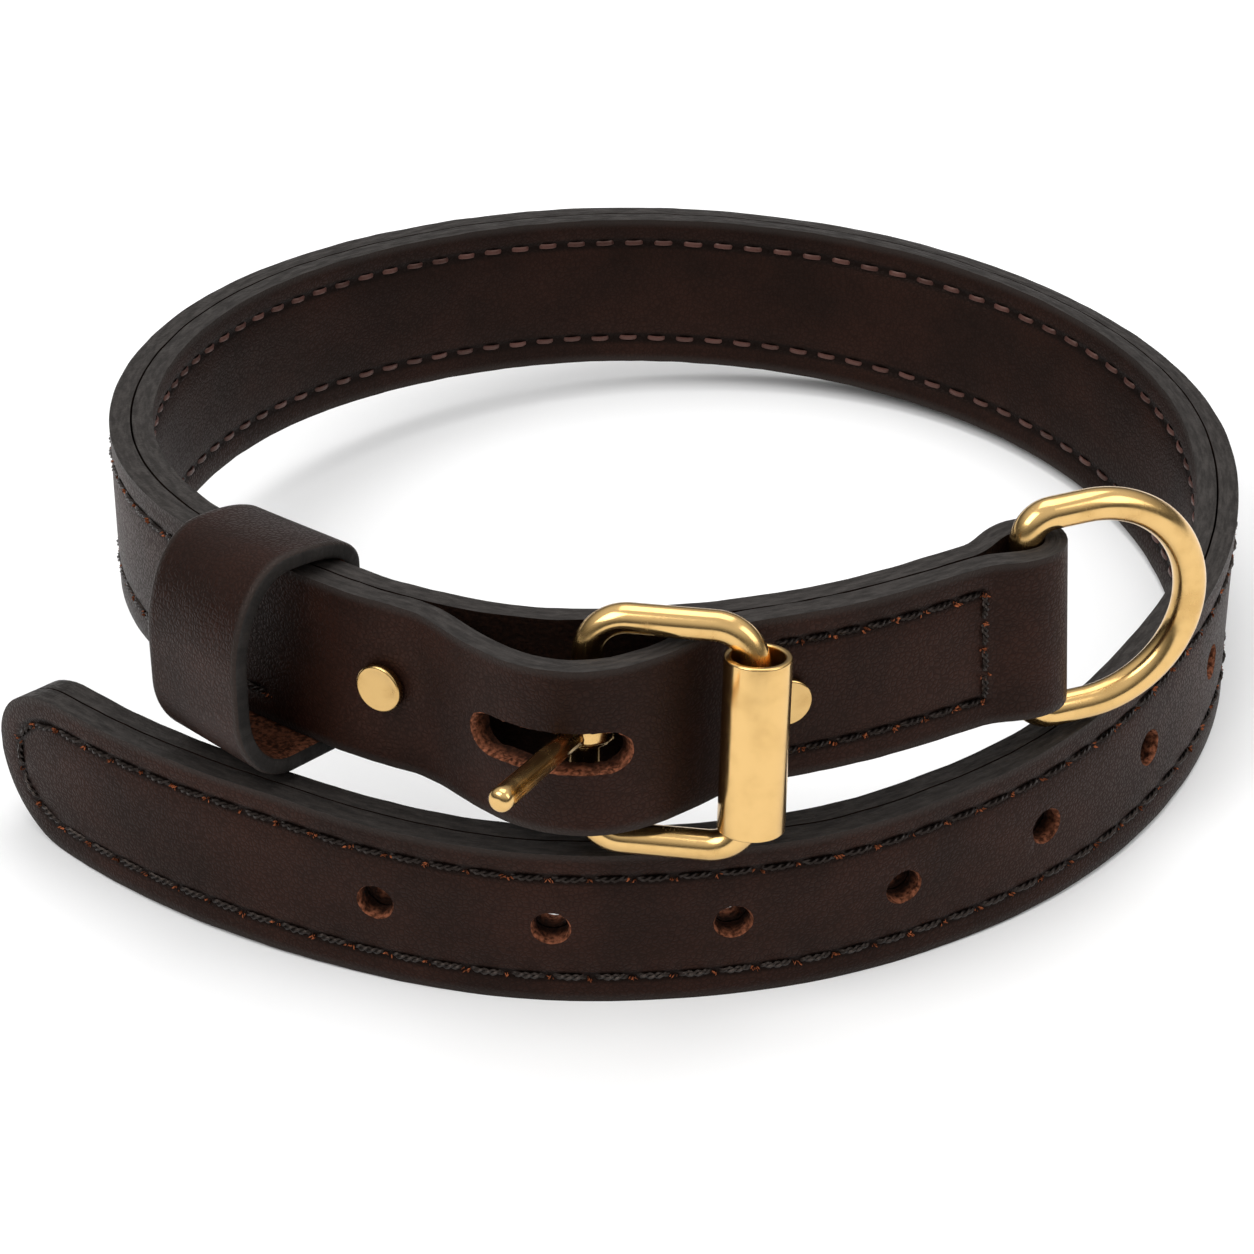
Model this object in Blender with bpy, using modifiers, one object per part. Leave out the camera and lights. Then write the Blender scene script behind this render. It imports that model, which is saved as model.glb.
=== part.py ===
"""A leather dog collar with brass fittings, unbuckled and standing on its lower edge.

The strap is two plies of leather. It starts at the rounded tip, runs once round the ring on the
floor, climbs at the back and ends above its own first turn. There the outer ply bulges over the
buckle's heel bar, is folded round the straight bar of a D-ring and comes back behind the buckle.
"""

import math

import bmesh
import bpy
from mathutils import Matrix, Vector

# Leather
STRAP_WIDTH = 0.0254
PLY = 0.0031
PLY_GAP = 0.0003
EDGE_ROUND = 0.0005
TIP_ROUNDING = 0.0138
RING_RADIUS = 0.082
COLUMN_STEP = 0.0068
FOLD_STEP = 0.0013

# Punched holes, counted from the tip
HOLE_COUNT = 7
HOLE_DIAMETER = 0.005
HOLE_PITCH = 0.0244
FIRST_HOLE_FROM_TIP = 0.0678

# Buckle
BUCKLE_WIRE = 0.0043
BUCKLE_WINDOW_HEIGHT = 0.028
BUCKLE_REACH = 0.0224
BUCKLE_CORNER = 0.0055
BUCKLE_OFF_STRAP = -4.75
BUCKLE_LEAN = -10.5
ROLLER_DIAMETER = 0.0092
ROLLER_WALL = 0.001
ROLLER_LENGTH = 0.0254
ROLLER_FIT = 0.0006
TONGUE_ROD = 0.0032
TONGUE_LENGTH = 0.0265
TONGUE_LOOP_WALL = 0.0018
TONGUE_LOOP_HEIGHT = 0.0038
TONGUE_FIT = 0.00025
TONGUE_OFF_FRAME = -106.5
LOOP_TO_FRONT = 0.0003
LOOP_TO_BACK = 0.002

# D-ring
D_WIRE = 0.0047
D_WINDOW_HEIGHT = 0.0272
D_REACH = 0.0248
D_CORNER = 0.0039
D_HEADING = 18.5
D_FIT = 0.0003
D_RAMP = 0.0088

# Rivets
RIVET_HEAD = 0.007
RIVET_HEAD_HEIGHT = 0.0013
RIVET_SHANK = 0.003
RIVET_FIT = 0.0003
RIVET_PAST_REACH = 0.003

# Keeper loop
KEEPER_WALL = 0.0025
KEEPER_WIDTH = 0.0195
KEEPER_BACK_FIT = 0.0012
KEEPER_UNDER_FIT = 0.00035
KEEPER_OVER_FIT = 0.002
KEEPER_NEAR_ROOM = 0.0118
KEEPER_NEAR_FOOT = 0.008
KEEPER_FAR_ROOM = 0.0102
KEEPER_FAR_FOOT = 0.0045
KEEPER_SHOULDER = 0.0014
KEEPER_CORNER = 0.0016

# Slot for the tongue
SLOT_LENGTH = 0.0207
SLOT_WIDTH = 0.006
SLOT_BEHIND_HEEL = 0.0048

# Places along the strap, measured from the straight bar of the D-ring
HEEL_FROM_D = 0.0645
RIVET_1_FROM_HEEL = 0.0285
KEEPER_FROM_HEEL = 0.0491
BUTT_FROM_HEEL = 0.053
REST_GAP = 0.0003
BUTT_GAP = 0.0005

# Worked out from the sizes above
THICKNESS = 2 * PLY + PLY_GAP
TONGUE_LOOP_RADIUS = BUCKLE_WIRE / 2 + TONGUE_FIT + TONGUE_LOOP_WALL
BELLY = 2 * TONGUE_LOOP_RADIUS + LOOP_TO_FRONT + LOOP_TO_BACK - PLY_GAP
BELLY_RUN_IN = RIVET_1_FROM_HEEL - RIVET_HEAD / 2
RIVET_2_FROM_HEEL = BUCKLE_REACH + RIVET_PAST_REACH
BELLY_RUN_OUT = RIVET_2_FROM_HEEL - RIVET_HEAD / 2
FOLD_RADIUS = D_WIRE / 2 + D_FIT
BUCKLE_HEIGHT = BUCKLE_WINDOW_HEIGHT + 2 * BUCKLE_WIRE
TAB_LIFT = STRAP_WIDTH + REST_GAP + (BUCKLE_HEIGHT - STRAP_WIDTH) / 2

# The coil, seen from above and counted anticlockwise from the right. Columns: turn in degrees,
# radius of the middle of the leather as a share of RING_RADIUS, height of the lower edge as a
# share of TAB_LIFT, and lean in degrees with the upper edge outwards.
COIL = [
    (-158.7, 1.266, 0.0, 0.0),
    (-150, 1.211, 0.0, -2.0),
    (-140, 1.154, 0.0, -4.0),
    (-130, 1.104, 0.0, -4.5),
    (-120, 1.063, 0.0, -2.0),
    (-105, 1.020, 0.0, 0.0),
    (-90, 0.982, 0.0, 0.0),
    (-75, 0.960, 0.0, 0.0),
    (-60, 0.949, 0.0, -2.5),
    (-30, 0.960, 0.0, -7.0),
    (-15, 0.973, 0.0, -4.0),
    (0, 0.990, 0.0, 1.0),
    (30, 1.028, 0.0, 13.0),
    (60, 1.052, 0.02, 14.0),
    (90, 1.022, 0.14, 10.0),
    (120, 1.004, 0.27, 6.5),
    (150, 1.005, 0.43, 4.0),
    (180, 1.000, 0.61, 0.5),
    (210, 0.976, 0.815, -3.0),
    (225, 0.955, 0.898, -4.5),
    (240, 0.949, 0.936, -5.0),
    (255, 0.943, 0.978, -4.0),
    (270, 0.918, 1.0, -5.0),
    (285, 0.887, 1.0, -4.0),
    (300, 0.882, 1.008, -4.0),
    (310.4, 0.901, 1.014, -4.0),
]


def coil_value(column, turn):
    """A smooth curve through one column of the coil's table, read at a turn."""
    last = len(COIL) - 1
    i = next(k for k in range(last) if turn <= COIL[k + 1][0] or k == last - 1)
    t0, t1 = COIL[i][0], COIL[i + 1][0]
    v0, v1 = COIL[i][column], COIL[i + 1][column]
    before, after = COIL[max(i - 1, 0)], COIL[min(i + 2, last)]
    slope0 = (v1 - before[column]) / (t1 - before[0])
    slope1 = (after[column] - v0) / (after[0] - t0)
    x = (turn - t0) / (t1 - t0)
    span = t1 - t0
    return (
        v0 * (2 * x**3 - 3 * x**2 + 1)
        + slope0 * span * (x**3 - 2 * x**2 + x)
        + v1 * (3 * x**2 - 2 * x**3)
        + slope1 * span * (x**3 - x**2)
    )


class Path:
    """A line in space with an up direction at each point, read by the distance along it."""

    def __init__(self, points, ups):
        self.points = points
        self.ups = ups
        self.along = [0.0]
        for a, b in zip(points, points[1:]):
            self.along.append(self.along[-1] + (b - a).length)
        self.length = self.along[-1]

    def at(self, distance):
        """Point, direction along, direction outwards and direction up at a distance."""
        last = len(self.points) - 2
        i = 0
        while i < last and self.along[i + 1] < distance:
            i += 1
        share = (distance - self.along[i]) / (self.along[i + 1] - self.along[i])
        point = self.points[i].lerp(self.points[i + 1], share)
        ahead = self.direction(i).lerp(self.direction(i + 1), share)
        up = self.ups[i].lerp(self.ups[i + 1], share)
        outward = ahead.cross(up).normalized()
        up = outward.cross(ahead).normalized()
        return point, ahead.normalized(), outward, up

    def direction(self, i):
        a = self.points[max(i - 1, 0)]
        b = self.points[min(i + 1, len(self.points) - 1)]
        return (b - a).normalized()


def coil_path():
    """The middle of the leather along its lower edge, from the tip to the D-ring's bar."""
    first, last = COIL[0][0], COIL[-1][0]
    steps = round(last - first)
    turns = [first + (last - first) * k / steps for k in range(steps + 1)]
    bare = []
    for turn in turns:
        radius = RING_RADIUS * coil_value(1, turn)
        lean = math.radians(coil_value(3, turn))
        height = TAB_LIFT * max(coil_value(2, turn), 0.0) + abs(math.sin(lean)) * THICKNESS / 2
        angle = math.radians(turn)
        bare.append(Vector((radius * math.cos(angle), radius * math.sin(angle), height)))
    level = Path(bare, [Vector((0, 0, 1))] * len(bare))
    ups = []
    for i, turn in enumerate(turns):
        ahead = level.direction(i)
        outward = ahead.cross(Vector((0, 0, 1))).normalized()
        upright = outward.cross(ahead)
        lean = math.radians(coil_value(3, turn))
        ups.append(upright * math.cos(lean) + outward * math.sin(lean))
    return Path(bare, ups)


def swell(distance, run):
    """Falls smoothly from one to nothing over a run."""
    return 0.5 + 0.5 * math.cos(math.pi * min(distance / run, 1.0))


def belly_at(middle, distance):
    """How far the outer ply stands off over the buckle's heel bar."""
    past = distance - (middle.length - HEEL_FROM_D)
    run = BELLY_RUN_IN if past < 0 else BELLY_RUN_OUT
    return BELLY * swell(abs(past), run)


def fold_at(middle, distance):
    """How far each ply stands off as it nears the D-ring's bar."""
    return (FOLD_RADIUS - PLY_GAP / 2) * swell(middle.length - distance, D_RAMP)


def outer_ply_path(middle):
    """The flesh side of the outer ply: out along the front, round the bar and back behind."""
    points, ups = [], []
    for i, distance in enumerate(middle.along):
        _, _, outward, up = middle.at(distance)
        off = PLY_GAP / 2 + belly_at(middle, distance) + fold_at(middle, distance)
        points.append(middle.points[i] + outward * off)
        ups.append(up)
    front_end = len(points)
    centre, ahead, outward, up = middle.at(middle.length)
    for k in range(1, 12):
        angle = math.pi * k / 12
        points.append(centre + (outward * math.cos(angle) + ahead * math.sin(angle)) * FOLD_RADIUS)
        ups.append(up)
    back_start = len(points)
    butt = middle.length - HEEL_FROM_D - BUTT_FROM_HEEL
    back_places = [distance for distance in reversed(middle.along) if distance >= butt]
    for distance in back_places:
        point, _, outward, up = middle.at(distance)
        points.append(point - outward * (PLY_GAP / 2 + fold_at(middle, distance)))
        ups.append(up)
    path = Path(points, ups)
    front = list(zip(middle.along, path.along[:front_end]))
    back = list(zip(back_places, path.along[back_start:]))
    return path, front, back[::-1]


def carried(distance, marks):
    """The place on a ply's own path of a place on the middle path, read between marks."""
    pairs = zip(marks, marks[1:])
    (m0, p0), (m1, p1) = next(pair for pair in pairs if pair[1][0] >= distance - 1e-9)
    return p0 + (p1 - p0) * (distance - m0) / (m1 - m0)


def link(obj, collection):
    collection.objects.link(obj)
    return obj


def material(name, colour, roughness, metallic=0.0):
    made = bpy.data.materials.new(name)
    made.use_nodes = True
    shader = made.node_tree.nodes["Principled BSDF"]
    shader.inputs["Base Color"].default_value = (*colour, 1.0)
    shader.inputs["Roughness"].default_value = roughness
    shader.inputs["Metallic"].default_value = metallic
    return made


def smooth(mesh, degrees=35):
    mesh.shade_smooth()
    mesh.set_sharp_from_angle(angle=math.radians(degrees))


def cylinder_cutter(name, cutters, place, diameter, segments=28):
    """A cylinder across the flat leather, along its thickness."""
    mesh = bpy.data.meshes.new(name)
    bm = bmesh.new()
    bmesh.ops.create_cone(
        bm,
        cap_ends=True,
        segments=segments,
        radius1=diameter / 2,
        radius2=diameter / 2,
        depth=4 * PLY,
        matrix=Matrix.Rotation(math.pi / 2, 4, "X"),
    )
    bm.to_mesh(mesh)
    bm.free()
    return cutter(name, mesh, cutters, place)


def slot_cutter(name, cutters, place):
    """A bar with round ends across the flat leather."""
    mesh = bpy.data.meshes.new(name)
    bm = bmesh.new()
    half = (SLOT_LENGTH - SLOT_WIDTH) / 2
    rim = []
    for end in (1, -1):
        for k in range(13):
            angle = math.pi * (k / 12 - 0.5)
            x = end * (half + math.cos(angle) * SLOT_WIDTH / 2)
            rim.append(bm.verts.new((x, -2 * PLY, end * math.sin(angle) * SLOT_WIDTH / 2)))
    face = bm.faces.new(rim)
    swept = bmesh.ops.extrude_face_region(bm, geom=[face])
    moved = [item for item in swept["geom"] if isinstance(item, bmesh.types.BMVert)]
    bmesh.ops.translate(bm, verts=moved, vec=(0, 4 * PLY, 0))
    bmesh.ops.recalc_face_normals(bm, faces=bm.faces)
    bm.to_mesh(mesh)
    bm.free()
    return cutter(name, mesh, cutters, place)


def cutter(name, mesh, cutters, place):
    obj = link(bpy.data.objects.new(name, mesh), cutters)
    obj.location = place
    obj.hide_render = True
    obj.display_type = "WIRE"
    return obj


def flat_ply(name, length, inner, outer, fine_from=None):
    """One ply laid out flat: X along it from the round tip, Y inwards and Z up its width."""
    radius = STRAP_WIDTH / 2
    columns = []
    for degrees in (10, 25, 40, 55, 70, 90):
        angle = math.radians(degrees)
        columns.append((TIP_ROUNDING * (1 - math.cos(angle)), radius * math.sin(angle)))
    distance = TIP_ROUNDING
    while distance < length - 1.5 * COLUMN_STEP:
        fine = fine_from is not None and fine_from[0] < distance < fine_from[1]
        distance += FOLD_STEP if fine else COLUMN_STEP
        columns.append((distance, radius))
    columns.append((length, radius))
    mesh = bpy.data.meshes.new(name)
    bm = bmesh.new()
    bmesh.ops.create_grid(bm, x_segments=len(columns) - 1, y_segments=1, size=1)
    rows = {}
    for vert in bm.verts:
        rows.setdefault(round(vert.co.x, 5), []).append(vert)
    for key, (x, half) in zip(sorted(rows), columns):
        for vert in rows[key]:
            vert.co = (x, 0.0, radius + math.copysign(half, vert.co.y))
    bmesh.ops.recalc_face_normals(bm, faces=bm.faces)
    if sum(face.normal.y for face in bm.faces) < 0:
        bmesh.ops.reverse_faces(bm, faces=bm.faces)
    bmesh.ops.translate(bm, verts=bm.verts, vec=(0, inner, 0))
    bm.to_mesh(mesh)
    bm.free()
    obj = bpy.data.objects.new(name, mesh)
    shell = obj.modifiers.new("Thickness", "SOLIDIFY")
    shell.thickness = inner - outer
    shell.offset = -1.0
    rounding = obj.modifiers.new("Rounded edges", "BEVEL")
    rounding.width = EDGE_ROUND
    rounding.segments = 2
    rounding.limit_method = "ANGLE"
    rounding.angle_limit = math.radians(60)
    return obj


def cut(obj, tools):
    for tool in tools:
        boolean = obj.modifiers.new("Cut " + tool.name, "BOOLEAN")
        boolean.operation = "DIFFERENCE"
        boolean.object = tool


def bend(obj, path):
    """Makes the flat ply's modifiers real and lays it along a path."""
    bpy.context.view_layer.update()
    evaluated = obj.evaluated_get(bpy.context.evaluated_depsgraph_get())
    mesh = bpy.data.meshes.new_from_object(evaluated)
    obj.modifiers.clear()
    bm = bmesh.new()
    bm.from_mesh(mesh)
    bmesh.ops.triangulate(bm, faces=[face for face in bm.faces if len(face.verts) > 4])
    for vert in bm.verts:
        distance, inward, height = vert.co
        point, _, outward, up = path.at(distance)
        vert.co = point - outward * inward + up * height
    bmesh.ops.triangulate(bm, faces=bm.faces)
    bmesh.ops.remove_doubles(bm, verts=bm.verts, dist=1e-6)
    bmesh.ops.dissolve_degenerate(bm, edges=bm.edges, dist=1e-6)
    bm.to_mesh(mesh)
    bm.free()
    smooth(mesh)
    obj.data = mesh
    return obj


def wire_loop(name, corners, diameter, collection, skin):
    """A closed wire through points of a plane: each corner is a centre, a radius and two angles."""
    curve = bpy.data.curves.new(name, "CURVE")
    curve.dimensions = "3D"
    curve.bevel_depth = diameter / 2
    curve.bevel_resolution = 4
    points = []
    for x, z, radius, start, end, steps in corners:
        for k in range(steps + 1):
            angle = math.radians(start + (end - start) * k / steps)
            points.append((x + radius * math.cos(angle), 0.0, z + radius * math.sin(angle), 1.0))
    spline = curve.splines.new("POLY")
    spline.points.add(len(points) - 1)
    for point, place in zip(spline.points, points):
        point.co = place
    spline.use_cyclic_u = True
    curve.materials.append(skin)
    return link(bpy.data.objects.new(name, curve), collection)


def stand(centre, heading, lean):
    """A place whose X points along a heading and whose Z leans out of the upright."""
    turn = Matrix.Rotation(math.radians(heading), 4, "Z")
    tilt = Matrix.Rotation(math.radians(lean), 4, "X")
    return Matrix.Translation(centre) @ turn @ tilt


def place_empty(name, matrix, collection):
    obj = link(bpy.data.objects.new(name, None), collection)
    obj.empty_display_size = 0.01
    obj.matrix_world = matrix
    return obj


def build_strap(middle, collection, cutters, leather, lining_leather):
    outer, front, back = outer_ply_path(middle)
    heel = middle.length - HEEL_FROM_D
    half_width = STRAP_WIDTH / 2
    holes = [FIRST_HOLE_FROM_TIP + k * HOLE_PITCH for k in range(HOLE_COUNT)]
    rivets = [heel - RIVET_1_FROM_HEEL, heel + RIVET_2_FROM_HEEL]
    fold = (carried(middle.length - D_RAMP, front), carried(middle.length - D_RAMP, back))

    ply = flat_ply("strap_outer_ply", outer.length, 0.0, -PLY, fold)
    link(ply, collection)
    tools = []
    for k, distance in enumerate(holes):
        place = (carried(distance, front), -PLY / 2, half_width)
        tools.append(cylinder_cutter(f"hole_{k + 1}_outer", cutters, place, HOLE_DIAMETER))
    for k, distance in enumerate(rivets):
        for side, marks in (("front", front), ("back", back)):
            place = (carried(distance, marks), -PLY / 2, half_width)
            bore = RIVET_SHANK + 2 * RIVET_FIT
            tools.append(cylinder_cutter(f"rivet_bore_{k + 1}_{side}", cutters, place, bore, 20))
    middle_of_slot = carried(heel, front) - SLOT_BEHIND_HEEL
    tools.append(slot_cutter("tongue_slot", cutters, (middle_of_slot, -PLY / 2, half_width)))
    cut(ply, tools)
    bend(ply, outer)
    ply.data.materials.append(leather)

    lining_length = heel - BUTT_FROM_HEEL - BUTT_GAP
    lining = flat_ply("strap_lining_ply", lining_length, THICKNESS / 2, PLY_GAP / 2)
    link(lining, collection)
    tools = []
    for k, distance in enumerate(holes):
        place = (distance, THICKNESS / 4, half_width)
        tools.append(cylinder_cutter(f"hole_{k + 1}_lining", cutters, place, HOLE_DIAMETER))
    cut(lining, tools)
    bend(lining, middle)
    lining.data.materials.append(lining_leather)


def keeper_outline(room, foot):
    """The inside of the keeper loop, as distances outwards and upwards from the strap's middle."""
    back = -(THICKNESS / 2 + KEEPER_BACK_FIT)
    front = THICKNESS / 2 + room
    low = -KEEPER_UNDER_FIT
    high = STRAP_WIDTH + KEEPER_OVER_FIT
    shoulder = STRAP_WIDTH - KEEPER_SHOULDER
    corner = KEEPER_CORNER
    apex = THICKNESS
    outline = []
    for x, z, a, b, start, end, steps in (
        (back + corner, low + corner, corner, corner, 180, 270, 4),
        (foot, low + high * 0.32, front - foot, high * 0.32, 270, 360, 8),
        (apex, high * 0.53, front - apex, high * 0.47, 0, 90, 9),
        (apex, shoulder, apex - back, high - shoulder, 90, 180, 7),
    ):
        for k in range(steps + 1):
            angle = math.radians(start + (end - start) * k / steps)
            outline.append((x + a * math.cos(angle), z + b * math.sin(angle)))
    return outline


def build_keeper(middle, collection, leather):
    """A loop of leather round both plies, bulging in front with room for the strap's end."""
    mesh = bpy.data.meshes.new("keeper_loop")
    bm = bmesh.new()
    rims = []
    for along, room, foot in (
        (-KEEPER_WIDTH / 2, KEEPER_FAR_ROOM, KEEPER_FAR_FOOT),
        (KEEPER_WIDTH / 2, KEEPER_NEAR_ROOM, KEEPER_NEAR_FOOT),
    ):
        rim = [bm.verts.new((along, -out, up)) for out, up in keeper_outline(room, foot)]
        rims += [bm.edges.new(pair) for pair in zip(rim, rim[1:] + rim[:1])]
    bmesh.ops.bridge_loops(bm, edges=rims)
    middle_line = sum((vert.co for vert in bm.verts), Vector()) / len(bm.verts)
    if sum((face.calc_center_median() - middle_line).dot(face.normal) for face in bm.faces) < 0:
        bmesh.ops.reverse_faces(bm, faces=bm.faces)
    bm.to_mesh(mesh)
    bm.free()
    smooth(mesh)
    obj = link(bpy.data.objects.new("keeper_loop", mesh), collection)
    mesh.materials.append(leather)
    shell = obj.modifiers.new("Thickness", "SOLIDIFY")
    shell.thickness = KEEPER_WALL
    shell.offset = 1.0
    shell.use_even_offset = True
    rounding = obj.modifiers.new("Rounded edges", "BEVEL")
    rounding.width = EDGE_ROUND
    rounding.segments = 2
    rounding.limit_method = "ANGLE"
    rounding.angle_limit = math.radians(60)
    point, ahead, outward, up = middle.at(middle.length - HEEL_FROM_D - KEEPER_FROM_HEEL)
    axes = Matrix((ahead, -outward, up)).transposed().to_4x4()
    obj.matrix_world = Matrix.Translation(point) @ axes


def build_rivet(name, middle, distance, collection, brass):
    """A rivet with a low domed head on each face, turned about its shank."""
    grip = THICKNESS / 2 + RIVET_FIT
    head = RIVET_HEAD / 2
    rim = RIVET_HEAD_HEIGHT * 0.5
    shoulder = head * 0.82
    cap = [(0.0, RIVET_HEAD_HEIGHT)]
    cap.append((shoulder * 0.6, RIVET_HEAD_HEIGHT * 0.97))
    cap.append((shoulder, RIVET_HEAD_HEIGHT * 0.82))
    cap.append((head, rim))
    cap.append((head, 0.0))
    cap.append((RIVET_SHANK / 2, 0.0))
    profile = [(x, grip + z) for x, z in cap]
    profile += [(x, -grip - z) for x, z in reversed(cap)]
    mesh = bpy.data.meshes.new(name)
    bm = bmesh.new()
    verts = [bm.verts.new((x, 0, z)) for x, z in profile]
    for a, b in zip(verts, verts[1:]):
        bm.edges.new((a, b))
    bm.to_mesh(mesh)
    bm.free()
    mesh.materials.append(brass)
    obj = link(bpy.data.objects.new(name, mesh), collection)
    turned = obj.modifiers.new("Turned", "SCREW")
    turned.steps = 24
    turned.render_steps = 24
    turned.use_merge_vertices = True
    turned.merge_threshold = 0.00001
    turned.use_smooth_shade = True
    point, ahead, outward, up = middle.at(distance)
    axes = Matrix((ahead, -up, outward)).transposed().to_4x4()
    obj.matrix_world = Matrix.Translation(point + up * STRAP_WIDTH / 2) @ axes
    return obj


def build_buckle(middle, collection, cutters, brass):
    """The frame with its roller and tongue. The frame and the tongue turn about the heel bar."""
    point, ahead, outward, up = middle.at(middle.length - HEEL_FROM_D)
    stand_off = TONGUE_LOOP_RADIUS + LOOP_TO_BACK - PLY_GAP / 2
    heel = point + up * STRAP_WIDTH / 2 + outward * stand_off
    heading = math.degrees(math.atan2(ahead.y, ahead.x)) + BUCKLE_OFF_STRAP
    pivot = place_empty("buckle_axis", stand(heel, heading, BUCKLE_LEAN), collection)

    half = (BUCKLE_WINDOW_HEIGHT + BUCKLE_WIRE) / 2
    r = BUCKLE_CORNER
    corners = [
        (r, -half + r, r, 180, 270, 6),
        (BUCKLE_REACH - r, -half + r, r, 270, 360, 6),
        (BUCKLE_REACH - r, half - r, r, 0, 90, 6),
        (r, half - r, r, 90, 180, 6),
    ]
    frame = wire_loop("buckle_frame", corners, BUCKLE_WIRE, collection, brass)
    frame.parent = pivot

    shift = ROLLER_DIAMETER / 2 - ROLLER_WALL - BUCKLE_WIRE / 2 - ROLLER_FIT
    roller = build_roller(collection, brass)
    roller.parent = pivot
    roller.location = (BUCKLE_REACH + shift * 0.5, -shift * math.cos(math.radians(30)), 0)

    tongue = build_tongue(collection, cutters, brass)
    tongue.parent = pivot
    tongue.rotation_euler = (0, 0, math.radians(TONGUE_OFF_FRAME))


def build_roller(collection, brass):
    """A thin tube round the bar opposite the heel bar."""
    outer = ROLLER_DIAMETER / 2
    bore = outer - ROLLER_WALL
    half = ROLLER_LENGTH / 2
    edge = ROLLER_WALL * 0.3
    profile = [
        (bore, half),
        (outer - edge, half),
        (outer, half - edge),
        (outer, -half + edge),
        (outer - edge, -half),
        (bore, -half),
    ]
    mesh = bpy.data.meshes.new("buckle_roller")
    bm = bmesh.new()
    verts = [bm.verts.new((x, 0, z)) for x, z in profile]
    for a, b in zip(verts, verts[1:] + verts[:1]):
        bm.edges.new((a, b))
    bm.to_mesh(mesh)
    bm.free()
    mesh.materials.append(brass)
    obj = link(bpy.data.objects.new("buckle_roller", mesh), collection)
    turned = obj.modifiers.new("Turned", "SCREW")
    turned.steps = 40
    turned.render_steps = 40
    turned.use_merge_vertices = True
    turned.merge_threshold = 0.00001
    turned.use_smooth_shade = True
    return obj


def build_tongue(collection, cutters, brass):
    """A round rod joined to a loop that turns on the heel bar. The rod runs along X."""
    mesh = bpy.data.meshes.new("buckle_tongue")
    bm = bmesh.new()
    bmesh.ops.create_cone(
        bm,
        cap_ends=True,
        segments=32,
        radius1=TONGUE_LOOP_RADIUS,
        radius2=TONGUE_LOOP_RADIUS,
        depth=TONGUE_LOOP_HEIGHT,
    )
    rim = [edge for edge in bm.edges if len({round(v.co.z, 5) for v in edge.verts}) == 1]
    bmesh.ops.bevel(bm, geom=rim, offset=TONGUE_LOOP_WALL * 0.4, segments=2, affect="EDGES")
    bm.to_mesh(mesh)
    bm.free()
    smooth(mesh)
    mesh.materials.append(brass)
    tongue = link(bpy.data.objects.new("buckle_tongue", mesh), collection)

    rod_radius = TONGUE_ROD / 2
    start = TONGUE_LOOP_RADIUS - TONGUE_LOOP_WALL / 2
    profile = [(0.0, start), (rod_radius, start)]
    profile.append((rod_radius * 1.02, start + (TONGUE_LENGTH - start) * 0.5))
    profile.append((rod_radius * 1.12, TONGUE_LENGTH - rod_radius * 0.9))
    profile.append((rod_radius * 0.95, TONGUE_LENGTH - rod_radius * 0.3))
    profile.append((rod_radius * 0.55, TONGUE_LENGTH))
    profile.append((0.0, TONGUE_LENGTH))
    profile.reverse()
    rod_mesh = bpy.data.meshes.new("tongue_rod")
    bm = bmesh.new()
    verts = [bm.verts.new((x, 0, z)) for x, z in profile]
    for a, b in zip(verts, verts[1:]):
        bm.edges.new((a, b))
    bmesh.ops.spin(
        bm,
        geom=bm.verts[:] + bm.edges[:],
        axis=(0, 0, 1),
        cent=(0, 0, 0),
        angle=2 * math.pi,
        steps=20,
        use_duplicate=False,
    )
    bmesh.ops.remove_doubles(bm, verts=bm.verts, dist=1e-6)
    bmesh.ops.recalc_face_normals(bm, faces=bm.faces)
    bmesh.ops.rotate(bm, verts=bm.verts, matrix=Matrix.Rotation(math.pi / 2, 3, "Y"))
    bm.to_mesh(rod_mesh)
    bm.free()
    smooth(rod_mesh)
    rod = cutter("tongue_rod", rod_mesh, cutters, (0, 0, 0))
    rod.parent = tongue

    bore_mesh = bpy.data.meshes.new("tongue_bore")
    bm = bmesh.new()
    bore = BUCKLE_WIRE / 2 + TONGUE_FIT
    bmesh.ops.create_cone(
        bm, cap_ends=True, segments=32, radius1=bore, radius2=bore, depth=2 * TONGUE_LOOP_HEIGHT
    )
    bm.to_mesh(bore_mesh)
    bm.free()
    smooth(bore_mesh)
    bore_tool = cutter("tongue_bore", bore_mesh, cutters, (0, 0, 0))
    bore_tool.parent = tongue
    joined = tongue.modifiers.new("Rod", "BOOLEAN")
    joined.operation = "UNION"
    joined.object = rod
    cut(tongue, [bore_tool])
    return tongue


def build_d_ring(middle, collection, brass):
    """A wire ring, straight where the leather holds it. It turns about that straight bar."""
    point, _, _, up = middle.at(middle.length)
    bar = point + up * STRAP_WIDTH / 2
    heading = math.radians(D_HEADING)
    level = Vector((math.cos(heading), math.sin(heading), 0.0))
    ahead = (level - up * level.dot(up)).normalized()
    axes = Matrix((ahead, up.cross(ahead), up)).transposed().to_4x4()
    pivot = place_empty("d_ring_axis", Matrix.Translation(bar) @ axes, collection)
    half = (D_WINDOW_HEIGHT + D_WIRE) / 2
    r = D_CORNER
    corners = [
        (r, -half + r, r, 180, 270, 6),
        (D_REACH - half, 0, half, 270, 450, 20),
        (r, half - r, r, 90, 180, 6),
    ]
    ring = wire_loop("d_ring", corners, D_WIRE, collection, brass)
    ring.parent = pivot


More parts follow.
